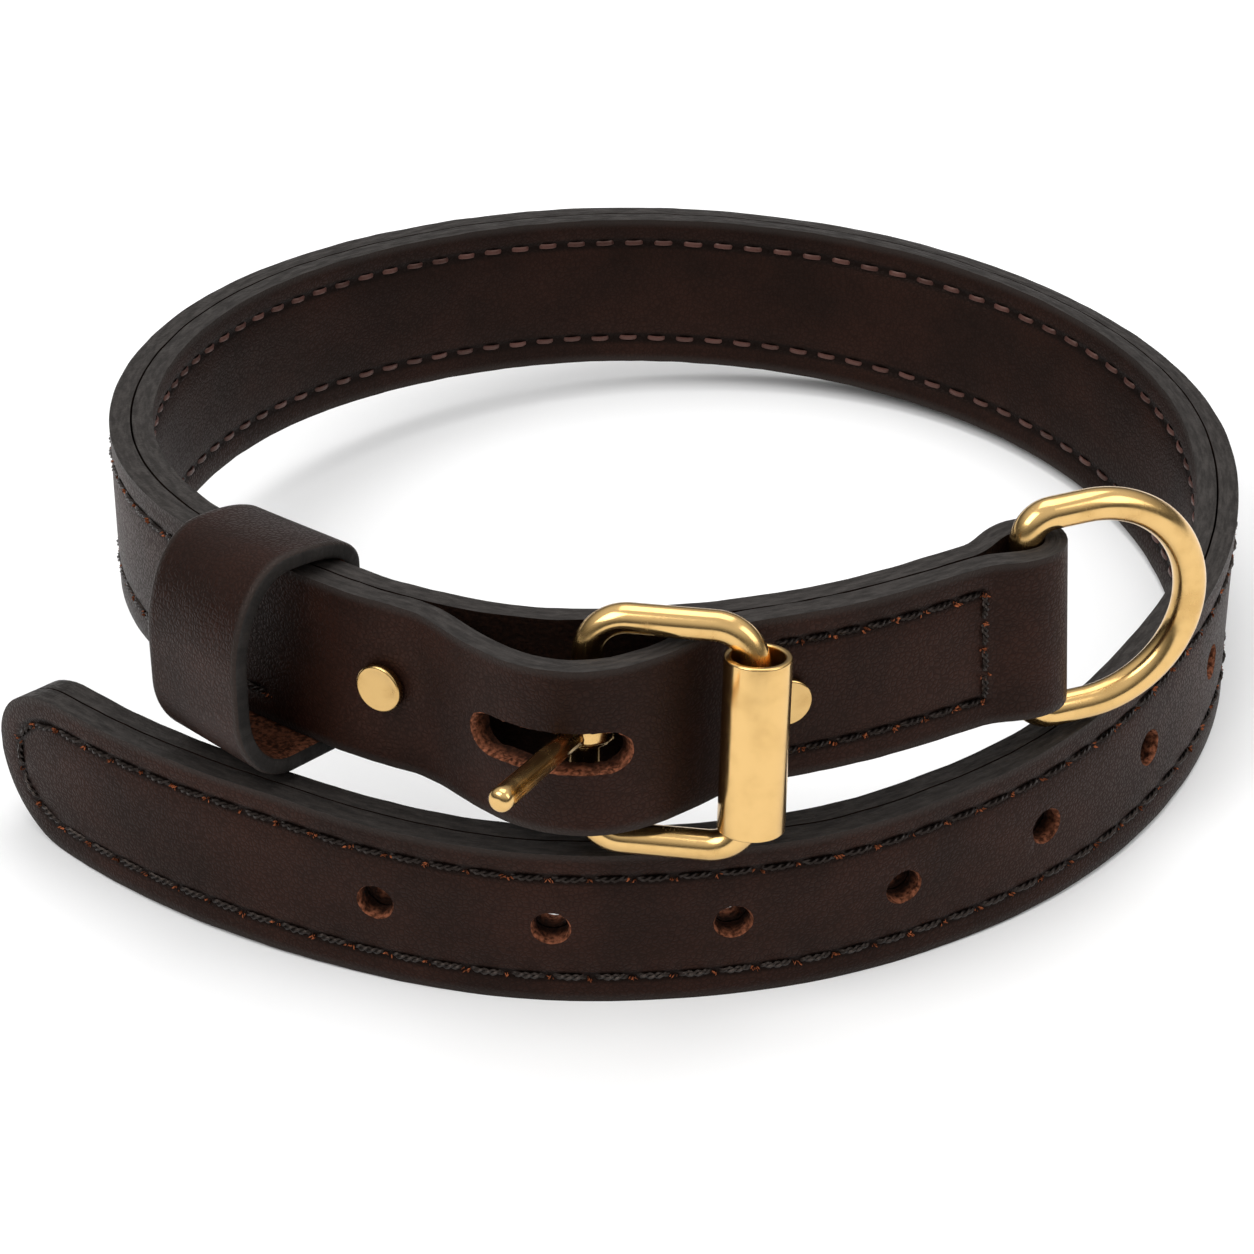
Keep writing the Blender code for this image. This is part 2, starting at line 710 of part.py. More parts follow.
def stand_on_origin(collection):
    """Moves everything so that the origin is under the middle of the collar's box."""
    bpy.context.view_layer.update()
    graph = bpy.context.evaluated_depsgraph_get()
    low = Vector((1.0, 1.0, 1.0))
    high = -low
    for obj in collection.objects:
        if obj.type == "EMPTY":
            continue
        evaluated = obj.evaluated_get(graph)
        mesh = evaluated.to_mesh()
        for vert in mesh.vertices:
            place = evaluated.matrix_world @ vert.co
            low = Vector(map(min, low, place))
            high = Vector(map(max, high, place))
        evaluated.to_mesh_clear()
    move = Vector((-(low.x + high.x) / 2, -(low.y + high.y) / 2, -low.z))
    for obj in collection.objects:
        if obj.parent is None:
            obj.matrix_world = Matrix.Translation(move) @ obj.matrix_world


def main():
    for obj in list(bpy.data.objects):
        bpy.data.objects.remove(obj)
    collection = bpy.data.collections.new("dog_collar")
    cutters = bpy.data.collections.new("cutters")
    bpy.context.scene.collection.children.link(collection)
    bpy.context.scene.collection.children.link(cutters)

    outer_leather = material("outer_leather", (0.075, 0.045, 0.036), 0.5)
    lining_leather = material("lining_leather", (0.06, 0.04, 0.034), 0.6)
    keeper_leather = material("keeper_leather", (0.08, 0.045, 0.034), 0.4)

    middle = coil_path()
    heel = middle.length - HEEL_FROM_D
    build_strap(middle, collection, cutters, outer_leather, lining_leather)
    build_keeper(middle, collection, keeper_leather)
    rivet_1 = heel - RIVET_1_FROM_HEEL
    rivet_2 = heel + RIVET_2_FROM_HEEL
    for name, distance in (("rivet_by_keeper", rivet_1), ("rivet_by_roller", rivet_2)):
        brass = material(name + "_brass", (0.8, 0.6, 0.3), 0.25, 1.0)
        build_rivet(name, middle, distance, collection, brass)
    build_buckle(middle, collection, cutters, material("buckle_brass", (0.82, 0.62, 0.32), 0.2, 1.0))
    build_d_ring(middle, collection, material("d_ring_brass", (0.82, 0.62, 0.32), 0.2, 1.0))
    stand_on_origin(collection)


main()
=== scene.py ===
"""Dresses the leather dog collar: grained leather, burnished edges, twisted stitching and brass."""

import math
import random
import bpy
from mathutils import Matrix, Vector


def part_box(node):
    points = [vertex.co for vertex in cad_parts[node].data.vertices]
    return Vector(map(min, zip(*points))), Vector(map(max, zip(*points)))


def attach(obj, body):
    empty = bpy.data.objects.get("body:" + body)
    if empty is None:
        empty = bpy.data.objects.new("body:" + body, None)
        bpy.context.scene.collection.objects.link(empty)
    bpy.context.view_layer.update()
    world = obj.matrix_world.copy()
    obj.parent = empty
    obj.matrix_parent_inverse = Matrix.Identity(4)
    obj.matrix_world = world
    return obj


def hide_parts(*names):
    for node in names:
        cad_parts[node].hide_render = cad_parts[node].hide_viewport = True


bl_info = {
    "name": "Leather Dog Collar",
    "version": (1, 0, 0),
    "blender": (4, 5, 0),
    "location": "3D View > Sidebar > Collar",
    "description": "Builds the leather, stitching and brass of a dog collar on its fixed frame",
    "category": "Object",
}

import bmesh
import bpy
from bpy.props import FloatProperty, FloatVectorProperty, IntProperty, PointerProperty
from mathutils import Matrix, Vector, noise

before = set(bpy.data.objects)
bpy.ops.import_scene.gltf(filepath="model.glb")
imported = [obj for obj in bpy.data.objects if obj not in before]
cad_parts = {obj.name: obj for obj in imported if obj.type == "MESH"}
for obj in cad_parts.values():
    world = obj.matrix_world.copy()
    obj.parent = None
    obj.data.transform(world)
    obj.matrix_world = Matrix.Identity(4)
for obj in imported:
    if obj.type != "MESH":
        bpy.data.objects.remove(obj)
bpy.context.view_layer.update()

# Strap, in metres
STRAP_WIDTH = 0.0254
PLY = 0.0031
PLY_GAP = 0.0003
TIP_ROUNDING = 0.0138
RING_RADIUS = 0.082
HALF_WIDTH = STRAP_WIDTH / 2
THICKNESS = 2 * PLY + PLY_GAP
HOLE_COUNT = 7
HOLE_DIAMETER = 0.005
HOLE_PITCH = 0.0244
FIRST_HOLE_FROM_TIP = 0.0678
SLOT_LENGTH = 0.0207
SLOT_WIDTH = 0.006
SLOT_BEHIND_HEEL = 0.0048

# Buckle
BUCKLE_WIRE = 0.0043
BUCKLE_WINDOW_HEIGHT = 0.028
BUCKLE_REACH = 0.0224
BUCKLE_CORNER = 0.0055
BUCKLE_OFF_STRAP = -4.75
BUCKLE_LEAN = -10.5
ROLLER_DIAMETER = 0.0092
ROLLER_WALL = 0.001
ROLLER_LENGTH = 0.0254
TONGUE_ROD = 0.0032
TONGUE_LENGTH = 0.0265
TONGUE_LOOP_WALL = 0.0018
TONGUE_LOOP_HEIGHT = 0.0038
TONGUE_FIT = 0.00025
TONGUE_OFF_FRAME = -106.5
LOOP_TO_FRONT = 0.0003
LOOP_TO_BACK = 0.002

# D-ring, rivets and keeper
D_WIRE = 0.0047
D_WINDOW_HEIGHT = 0.0272
D_REACH = 0.0248
D_CORNER = 0.0039
D_HEADING = 18.5
D_FIT = 0.0003
D_RAMP = 0.0088
RIVET_HEAD = 0.007
RIVET_HEAD_HEIGHT = 0.0013
RIVET_SHANK = 0.003
RIVET_FIT = 0.0003
RIVET_PAST_REACH = 0.003
KEEPER_WALL = 0.0025
KEEPER_WIDTH = 0.0195
KEEPER_BACK_FIT = 0.0012
KEEPER_UNDER_FIT = 0.00035
KEEPER_OVER_FIT = 0.002
KEEPER_NEAR_ROOM = 0.0118
KEEPER_NEAR_FOOT = 0.008
KEEPER_FAR_ROOM = 0.0102
KEEPER_FAR_FOOT = 0.0045
KEEPER_SHOULDER = 0.0014
KEEPER_CORNER = 0.0016

# Places along the strap
HEEL_FROM_D = 0.0645
RIVET_1_FROM_HEEL = 0.0285
KEEPER_FROM_HEEL = 0.0491
BUTT_FROM_HEEL = 0.053
BUTT_GAP = 0.0005
TAB_STITCH_FROM_D = 0.0088
TAB_STITCH_BEFORE_RIVET = 0.002
REST_GAP = 0.0003

TONGUE_LOOP_RADIUS = BUCKLE_WIRE / 2 + TONGUE_FIT + TONGUE_LOOP_WALL
BELLY = 2 * TONGUE_LOOP_RADIUS + LOOP_TO_FRONT + LOOP_TO_BACK - PLY_GAP
BELLY_RUN_IN = RIVET_1_FROM_HEEL - RIVET_HEAD / 2
RIVET_2_FROM_HEEL = BUCKLE_REACH + RIVET_PAST_REACH
BELLY_RUN_OUT = RIVET_2_FROM_HEEL - RIVET_HEAD / 2
FOLD_RADIUS = D_WIRE / 2 + D_FIT
BUCKLE_HEIGHT = BUCKLE_WINDOW_HEIGHT + 2 * BUCKLE_WIRE
TAB_LIFT = STRAP_WIDTH + REST_GAP + (BUCKLE_HEIGHT - STRAP_WIDTH) / 2

# The coil: turn in degrees, radius share, lift share, lean in degrees
COIL = [
    (-158.7, 1.266, 0.0, 0.0),
    (-150, 1.211, 0.0, -2.0),
    (-140, 1.154, 0.0, -4.0),
    (-130, 1.104, 0.0, -4.5),
    (-120, 1.063, 0.0, -2.0),
    (-105, 1.020, 0.0, 0.0),
    (-90, 0.982, 0.0, 0.0),
    (-75, 0.960, 0.0, 0.0),
    (-60, 0.949, 0.0, -2.5),
    (-30, 0.960, 0.0, -7.0),
    (-15, 0.973, 0.0, -4.0),
    (0, 0.990, 0.0, 1.0),
    (30, 1.028, 0.0, 13.0),
    (60, 1.052, 0.02, 14.0),
    (90, 1.022, 0.14, 10.0),
    (120, 1.004, 0.27, 6.5),
    (150, 1.005, 0.43, 4.0),
    (180, 1.000, 0.61, 0.5),
    (210, 0.976, 0.815, -3.0),
    (225, 0.955, 0.898, -4.5),
    (240, 0.949, 0.936, -5.0),
    (255, 0.943, 0.978, -4.0),
    (270, 0.918, 1.0, -5.0),
    (285, 0.887, 1.0, -4.0),
    (300, 0.882, 1.008, -4.0),
    (310.4, 0.901, 1.014, -4.0),
]

GRAIN, FLESH, RIM, CUT = range(4)

# Stitches: share of the pitch left bare at each end, twists of the thread in one stitch, and how
# deep its ends go and how far its middle comes up from there, in strands
TWISTED_GAP = 0.05
FLAT_GAP = 0.15
TWISTS = 2.1
SUNK = 2.3
RISE = 3.8

# Punched walls: widening at the mouth, its depth as a share of the ply, and torn fibres
LIP = 0.00025
LIP_DEPTH = 0.2
TEAR = 0.06

# Leather surface: spacing of its mesh, reach of the groove under the stitching, the strip of the
# rim that isn't smooth, how uneven the leather is, and fibres of the cut edge
STEP = 0.0018
FINE_STEP = 0.0006
GROOVE_REACH = 0.0007
ROUGH_RIM = 0.0004
UNEVEN = 0.00012
FIBRES_PER_METRE = 1100.0


def colour_setting(name, description, default):
    return FloatVectorProperty(
        name=name, description=description, subtype="COLOR", size=3, min=0, max=1, default=default
    )


def length_setting(name, description, low, high, default):
    return FloatProperty(
        name=name, description=description, subtype="DISTANCE", unit="LENGTH",
        min=low, max=high, default=default,
    )


class CollarLeather(bpy.types.PropertyGroup):
    """Colours and surface of the leather."""

    grain_colour: colour_setting(
        "Leather", "Colour of the smooth grain side", (0.0152, 0.0064, 0.0044)
    )
    lining_colour: colour_setting(
        "Lining", "Colour of the side that touches the neck", (0.0112, 0.005, 0.0036)
    )
    keeper_colour: colour_setting("Keeper", "Colour of the keeper loop", (0.0145, 0.0062, 0.0044))
    rim_colour: colour_setting("Edges", "Colour of the burnished edges", (0.026, 0.0225, 0.0205))
    flesh_colour: colour_setting(
        "Raw leather", "Colour of the flesh side and of punched walls", (0.17, 0.06, 0.031)
    )
    grain_size: length_setting(
        "Grain size", "Width of one cell of the grain", 0.0002, 0.003, 0.0007
    )
    edge_rounding: length_setting(
        "Edge rounding", "Radius of the burnished corners", 0.0002, 0.0012, 0.0007
    )


class CollarStitching(bpy.types.PropertyGroup):
    """Sizes and colours of the stitching."""

    inset: length_setting(
        "Inset", "Distance from the strap's edge to the line of stitching", 0.002, 0.008, 0.0042
    )
    pitch: length_setting("Pitch", "Length of one stitch along the strap", 0.002, 0.01, 0.0056)
    tab_pitch: length_setting(
        "Tab pitch", "Length of one stitch on the folded tab", 0.002, 0.01, 0.0046
    )
    inside_pitch: length_setting(
        "Inside pitch", "Length of one stitch on the inside of the strap", 0.002, 0.01, 0.005
    )
    strand: length_setting(
        "Strand", "Radius of one of the thread's two strands", 0.0001, 0.0006, 0.00027
    )
    groove: length_setting(
        "Groove", "How far the stitching pulls the leather in", 0, 0.001, 0.00045
    )
    outer_colour: colour_setting(
        "Outer thread", "Colour of the thread on the outside", (0.0048, 0.0036, 0.0032)
    )
    inner_colour: colour_setting(
        "Inner thread", "Colour of the thread on the inside", (0.062, 0.027, 0.022)
    )


class CollarBrass(bpy.types.PropertyGroup):
    """Look of the brass fittings."""

    colour: colour_setting("Brass", "Colour of the polished brass", (0.69, 0.45, 0.18))
    roughness: FloatProperty(
        name="Roughness",
        description="How dull the polish is",
        subtype="FACTOR",
        min=0,
        max=1,
        default=0.17,
    )
    sides: IntProperty(
        name="Wire sides",
        description="Faces round the wire, in quarters of a turn",
        min=2,
        max=16,
        default=9,
    )


class CollarStage(bpy.types.PropertyGroup):
    """Floor, light and camera."""

    floor_colour: colour_setting("Floor", "Colour of the plain floor", (0.93, 0.93, 0.93))
    camera_distance: length_setting(
        "Camera distance", "From the camera to the point on the floor that it looks at", 0.3, 3, 0.6504
    )
    camera_height: FloatProperty(
        name="Camera angle",
        description="Height of the camera above the horizon",
        subtype="ANGLE",
        min=0,
        max=1.5,
        default=math.radians(34.17),
    )
    lens: FloatProperty(
        name="Lens", description="Focal length in millimetres", min=20, max=300, default=118.68
    )


def coil_value(column, turn):
    """A smooth curve through one column of the coil's table, read at a turn."""
    last = len(COIL) - 1
    i = next(k for k in range(last) if turn <= COIL[k + 1][0] or k == last - 1)
    t0, t1 = COIL[i][0], COIL[i + 1][0]
    v0, v1 = COIL[i][column], COIL[i + 1][column]
    before, after = COIL[max(i - 1, 0)], COIL[min(i + 2, last)]
    slope0 = (v1 - before[column]) / (t1 - before[0])
    slope1 = (after[column] - v0) / (after[0] - t0)
    x = (turn - t0) / (t1 - t0)
    span = t1 - t0
    return (
        v0 * (2 * x**3 - 3 * x**2 + 1)
        + slope0 * span * (x**3 - 2 * x**2 + x)
        + v1 * (3 * x**2 - 2 * x**3)
        + slope1 * span * (x**3 - x**2)
    )


class Path:
    """A line in space with an up direction at each point, read by the distance along it."""

    def __init__(self, points, ups):
        self.points = points
        self.ups = ups
        self.along = [0.0]
        for a, b in zip(points, points[1:]):
            self.along.append(self.along[-1] + (b - a).length)
        self.length = self.along[-1]
        self.last = 0

    def at(self, distance):
        """Point, direction along, direction outwards and direction up at a distance."""
        i = self.last
        end = len(self.points) - 2
        while i < end and self.along[i + 1] < distance:
            i += 1
        while i > 0 and self.along[i] > distance:
            i -= 1
        self.last = i
        share = (distance - self.along[i]) / (self.along[i + 1] - self.along[i])
        point = self.points[i].lerp(self.points[i + 1], share)
        ahead = self.direction(i).lerp(self.direction(i + 1), share)
        up = self.ups[i].lerp(self.ups[i + 1], share)
        outward = ahead.cross(up).normalized()
        up = outward.cross(ahead).normalized()
        return point, ahead.normalized(), outward, up

    def direction(self, i):
        a = self.points[max(i - 1, 0)]
        b = self.points[min(i + 1, len(self.points) - 1)]
        return (b - a).normalized()

    def place(self, distance, inward, height):
        """A point of the flat leather, laid along the path."""
        point, _, outward, up = self.at(distance)
        return point - outward * inward + up * height


def coil_path():
    """The middle of the leather along its lower edge, from the tip to the D-ring's bar."""
    first, last = COIL[0][0], COIL[-1][0]
    steps = round(last - first)
    turns = [first + (last - first) * k / steps for k in range(steps + 1)]
    bare = []
    for turn in turns:
        radius = RING_RADIUS * coil_value(1, turn)
        lean = math.radians(coil_value(3, turn))
        height = TAB_LIFT * max(coil_value(2, turn), 0.0) + abs(math.sin(lean)) * THICKNESS / 2
        angle = math.radians(turn)
        bare.append(Vector((radius * math.cos(angle), radius * math.sin(angle), height)))
    level = Path(bare, [Vector((0, 0, 1))] * len(bare))
    ups = []
    for i, turn in enumerate(turns):
        ahead = level.direction(i)
        outward = ahead.cross(Vector((0, 0, 1))).normalized()
        upright = outward.cross(ahead)
        lean = math.radians(coil_value(3, turn))
        ups.append(upright * math.cos(lean) + outward * math.sin(lean))
    shifted = Path(bare, ups)
    rivet = shifted.length - HEEL_FROM_D - RIVET_1_FROM_HEEL
    low, high = (Vector(corner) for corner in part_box("rivet_by_keeper"))
    move = (low + high) / 2 - shifted.place(rivet, 0.0, HALF_WIDTH)
    return Path([point + move for point in bare], ups)


def swell(distance, run):
    """Falls smoothly from one to nothing over a run."""
    return 0.5 + 0.5 * math.cos(math.pi * min(distance / run, 1.0))


def belly_at(middle, distance):
    """How far the outer ply stands off over the buckle's heel bar."""
    past = distance - (middle.length - HEEL_FROM_D)
    return BELLY * swell(abs(past), BELLY_RUN_IN if past < 0 else BELLY_RUN_OUT)


def fold_at(middle, distance):
    """How far each ply stands off as it nears the D-ring's bar."""
    return (FOLD_RADIUS - PLY_GAP / 2) * swell(middle.length - distance, D_RAMP)


def outer_ply_path(middle):
    """The flesh side of the outer ply: out along the front, round the bar and back behind."""
    points, ups = [], []
    for i, distance in enumerate(middle.along):
        _, _, outward, up = middle.at(distance)
        off = PLY_GAP / 2 + belly_at(middle, distance) + fold_at(middle, distance)
        points.append(middle.points[i] + outward * off)
        ups.append(up)
    front_end = len(points)
    centre, ahead, outward, up = middle.at(middle.length)
    for k in range(1, 12):
        angle = math.pi * k / 12
        points.append(centre + (outward * math.cos(angle) + ahead * math.sin(angle)) * FOLD_RADIUS)
        ups.append(up)
    back_start = len(points)
    butt = middle.length - HEEL_FROM_D - BUTT_FROM_HEEL
    back_places = [distance for distance in reversed(middle.along) if distance >= butt]
    for distance in back_places:
        point, _, outward, up = middle.at(distance)
        points.append(point - outward * (PLY_GAP / 2 + fold_at(middle, distance)))
        ups.append(up)
    path = Path(points, ups)
    front = list(zip(middle.along, path.along[:front_end]))
    back = list(zip(back_places, path.along[back_start:]))
    return path, front, back[::-1]


def carried(distance, marks):
    """The place on a ply's own path of a place on the middle path, read between marks."""
    pairs = zip(marks, marks[1:])
    (m0, p0), (m1, p1) = next(pair for pair in pairs if pair[1][0] >= distance - 1e-9)
    return p0 + (p1 - p0) * (distance - m0) / (m1 - m0)


class Layout:
    """The paths and places that every piece is set out from."""

    def __init__(self):
        self.middle = coil_path()
        self.outer, self.front, self.back = outer_ply_path(self.middle)
        self.heel = self.middle.length - HEEL_FROM_D
        self.holes = [FIRST_HOLE_FROM_TIP + k * HOLE_PITCH for k in range(HOLE_COUNT)]
        self.rivet_1 = self.heel - RIVET_1_FROM_HEEL
        self.rivet_2 = self.heel + RIVET_2_FROM_HEEL
        self.keeper = self.heel - KEEPER_FROM_HEEL
        self.tab_start = self.rivet_2 - TAB_STITCH_BEFORE_RIVET
        self.tab_end = self.middle.length - TAB_STITCH_FROM_D


LAYOUT = Layout()


def rim_distance(distance, height, tip):
    """How far a point of the flat leather is from its outline."""
    side = HALF_WIDTH - abs(height - HALF_WIDTH)
    if distance >= tip:
        return side
    x = (tip - distance) / tip
    z = (height - HALF_WIDTH) / HALF_WIDTH
    return (1 - math.hypot(x, z)) * HALF_WIDTH


def new_material(name):
    made = bpy.data.materials.new(name)
    made.use_nodes = True
    return made, made.node_tree, made.node_tree.nodes["Principled BSDF"]


def add(tree, kind, x, y, **settings):
    made = tree.nodes.new(kind)
    made.location = (x, y)
    for key, value in settings.items():
        setattr(made, key, value)
    return made


def join(tree, source, target):
    tree.links.new(source, target)


def put(node, values):
    """Sets inputs of a node, each to its own number or colour."""
    for key, value in values.items():
        node.inputs[key].default_value = value


def noise_texture(tree, x, y, vector, scale, detail, roughness=0.5):
    made = add(tree, "ShaderNodeTexNoise", x, y)
    join(tree, vector, made.inputs["Vector"])
    put(made, {"Scale": scale, "Detail": detail, "Roughness": roughness})
    return made


def math_node(tree, operation, x, y, *values, clamp=False):
    made = add(tree, "ShaderNodeMath", x, y, operation=operation, use_clamp=clamp)
    for socket, value in zip(made.inputs, values):
        if isinstance(value, (int, float)):
            socket.default_value = value
        else:
            join(tree, value, socket)
    return made.outputs[0]


def colour_mix(tree, x, y, share, first, second, blend="MIX"):
    made = add(tree, "ShaderNodeMix", x, y, data_type="RGBA", blend_type=blend)
    for socket, value in ((made.inputs[0], share), (made.inputs[6], first), (made.inputs[7], second)):
        if isinstance(value, bpy.types.NodeSocket):
            join(tree, value, socket)
        elif isinstance(value, (int, float)):
            socket.default_value = value
        else:
            socket.default_value = (*value, 1.0)
    return made.outputs[2]


def remap(tree, x, y, value, low, high, to_low=0.0, to_high=1.0):
    made = add(tree, "ShaderNodeMapRange", x, y, interpolation_type="SMOOTHSTEP")
    join(tree, value, made.inputs["Value"])
    put(made, {"From Min": low, "From Max": high, "To Min": to_low, "To Max": to_high})
    return made.outputs["Result"]


def bump(tree, shader, height, strength, distance, x=-200, y=-300):
    made = add(tree, "ShaderNodeBump", x, y)
    put(made, {"Strength": strength, "Distance": distance})
    join(tree, height, made.inputs["Height"])
    join(tree, made.outputs["Normal"], shader.inputs["Normal"])
    return made


def new_group(name, inputs, outputs):
    group = bpy.data.node_groups.new(name, "ShaderNodeTree")
    for label, value in inputs:
        socket = group.interface.new_socket(
            name=label, in_out="INPUT", socket_type="NodeSocketFloat"
        )
        socket.default_value = value
    for label in outputs:
        group.interface.new_socket(name=label, in_out="OUTPUT", socket_type="NodeSocketFloat")
    return group, group.nodes.new("NodeGroupInput"), group.nodes.new("NodeGroupOutput")


def grain_group():
    """Fine cells, creases and cloudy patches of dyed leather."""
    name = "Leather grain"
    if name in bpy.data.node_groups:
        return bpy.data.node_groups[name]
    group, given, out = new_group(
        name, [("Cell size", 0.0007), ("Crease", 0.4)], ["Tone", "Patches", "Height"]
    )
    given.location = (-1100, 0)
    place = add(group, "ShaderNodeTexCoord", -1100, -250)
    scale = math_node(group, "DIVIDE", -900, 100, 1.0, given.outputs["Cell size"])
    wander = noise_texture(group, -900, -500, place.outputs["Object"], 300.0, 2.0)
    shift = add(group, "ShaderNodeVectorMath", -700, -400, operation="SCALE")
    shift.inputs["Scale"].default_value = 0.0012
    join(group, wander.outputs["Color"], shift.inputs[0])
    moved = add(group, "ShaderNodeVectorMath", -540, -300, operation="ADD")
    join(group, place.outputs["Object"], moved.inputs[0])
    join(group, shift.outputs[0], moved.inputs[1])
    cells = add(group, "ShaderNodeTexVoronoi", -360, 100, feature="DISTANCE_TO_EDGE")
    join(group, moved.outputs[0], cells.inputs["Vector"])
    join(group, scale, cells.inputs["Scale"])
    cell = remap(group, -180, 120, cells.outputs["Distance"], 0.0, 0.28)
    fine = noise_texture(group, -360, -120, place.outputs["Object"], 1.0, 4.0, 0.6)
    join(group, math_node(group, "MULTIPLY", -540, -60, scale, 1.3), fine.inputs["Scale"])
    crease = add(group, "ShaderNodeTexNoise", -360, -380, noise_type="RIDGED_MULTIFRACTAL")
    join(group, moved.outputs[0], crease.inputs["Vector"])
    put(crease, {"Scale": 190.0, "Detail": 3.0})
    patches = noise_texture(group, -360, -620, place.outputs["Object"], 55.0, 5.0, 0.62)
    tone = math_node(group, "MULTIPLY", -20, 60, cell, 0.45)
    tone = math_node(group, "MULTIPLY_ADD", 140, 60, fine.outputs[0], 0.55, tone)
    join(group, tone, out.inputs["Tone"])
    join(group, remap(group, -20, -620, patches.outputs[0], 0.32, 0.7), out.inputs["Patches"])
    fold = math_node(group, "MULTIPLY", -20, -380, crease.outputs[0], given.outputs["Crease"])
    height = math_node(group, "SUBTRACT", 160, -200, tone, fold)
    join(group, height, out.inputs["Height"])
    out.location = (420, 0)
    return group


def fibre_group():
    """Streaks along the cut edge of the leather, read from the strap's own coordinates."""
    name = "Leather fibres"
    if name in bpy.data.node_groups:
        return bpy.data.node_groups[name]
    group, given, out = new_group(name, [("Streak length", 0.006)], ["Streaks", "Specks", "Height"])
    given.location = (-1100, 0)
    along = add(group, "ShaderNodeAttribute", -1100, -150, attribute_name="along")
    depth = add(group, "ShaderNodeAttribute", -1100, -350, attribute_name="inward")
    across = add(group, "ShaderNodeAttribute", -1100, -550, attribute_name="across")
    reach = given.outputs["Streak length"]
    stretched = math_node(group, "DIVIDE", -900, -100, along.outputs["Fac"], reach)
    thin = math_node(group, "MULTIPLY", -900, -300, depth.outputs["Fac"], FIBRES_PER_METRE)
    tall = math_node(group, "MULTIPLY", -900, -500, across.outputs["Fac"], FIBRES_PER_METRE)
    joined = add(group, "ShaderNodeCombineXYZ", -700, -250)
    for source, target in ((stretched, "X"), (thin, "Y"), (tall, "Z")):
        join(group, source, joined.inputs[target])
    streaks = noise_texture(group, -500, 0, joined.outputs[0], 1.0, 5.0, 0.65)
    place = add(group, "ShaderNodeTexCoord", -700, -600)
    specks = noise_texture(group, -500, -400, place.outputs["Object"], 1500.0, 3.0)
    join(group, remap(group, -260, 0, streaks.outputs[0], 0.33, 0.68), out.inputs["Streaks"])
    join(group, remap(group, -260, -300, specks.outputs[0], 0.35, 0.7), out.inputs["Specks"])
    both = math_node(group, "ADD", -60, -200, streaks.outputs[0], specks.outputs[0])
    join(group, both, out.inputs["Height"])
    out.location = (200, 0)
    return group


def polish_group():
    """Handling marks of polished brass: soft tarnish, hairlines and a slight waviness."""
    name = "Worn polish"
    if name in bpy.data.node_groups:
        return bpy.data.node_groups[name]
    group, given, out = new_group(name, [("Marks", 1.0)], ["Tarnish", "Dulling", "Height"])
    given.location = (-900, 0)
    place = add(group, "ShaderNodeTexCoord", -900, -200)
    soft = noise_texture(group, -600, 0, place.outputs["Object"], 260.0, 4.0)
    stretch = add(group, "ShaderNodeMapping", -760, -320)
    put(stretch, {"Rotation": (0.4, 0.9, 0.5), "Scale": (4200.0, 4200.0, 260.0)})
    join(group, place.outputs["Object"], stretch.inputs["Vector"])
    lines = noise_texture(group, -560, -320, stretch.outputs[0], 1.0, 2.0)
    hair = remap(group, -340, -320, lines.outputs[0], 0.55, 0.8)
    tarnish = remap(group, -340, 0, soft.outputs[0], 0.4, 0.75)
    marks = given.outputs["Marks"]
    join(group, math_node(group, "MULTIPLY", -120, 60, tarnish, marks), out.inputs["Tarnish"])
    dull = math_node(group, "MULTIPLY_ADD", -120, -120, hair, 0.6, tarnish)
    join(group, math_node(group, "MULTIPLY", 60, -120, dull, marks), out.inputs["Dulling"])
    high = math_node(group, "MULTIPLY_ADD", -120, -320, hair, -0.35, soft.outputs[0])
    join(group, high, out.inputs["Height"])
    out.location = (260, 0)
    return group


def use_group(tree, group, x, y, **values):
    made = add(tree, "ShaderNodeGroup", x, y, node_tree=group)
    for key, value in values.items():
        made.inputs[key.replace("_", " ")].default_value = value
    return made


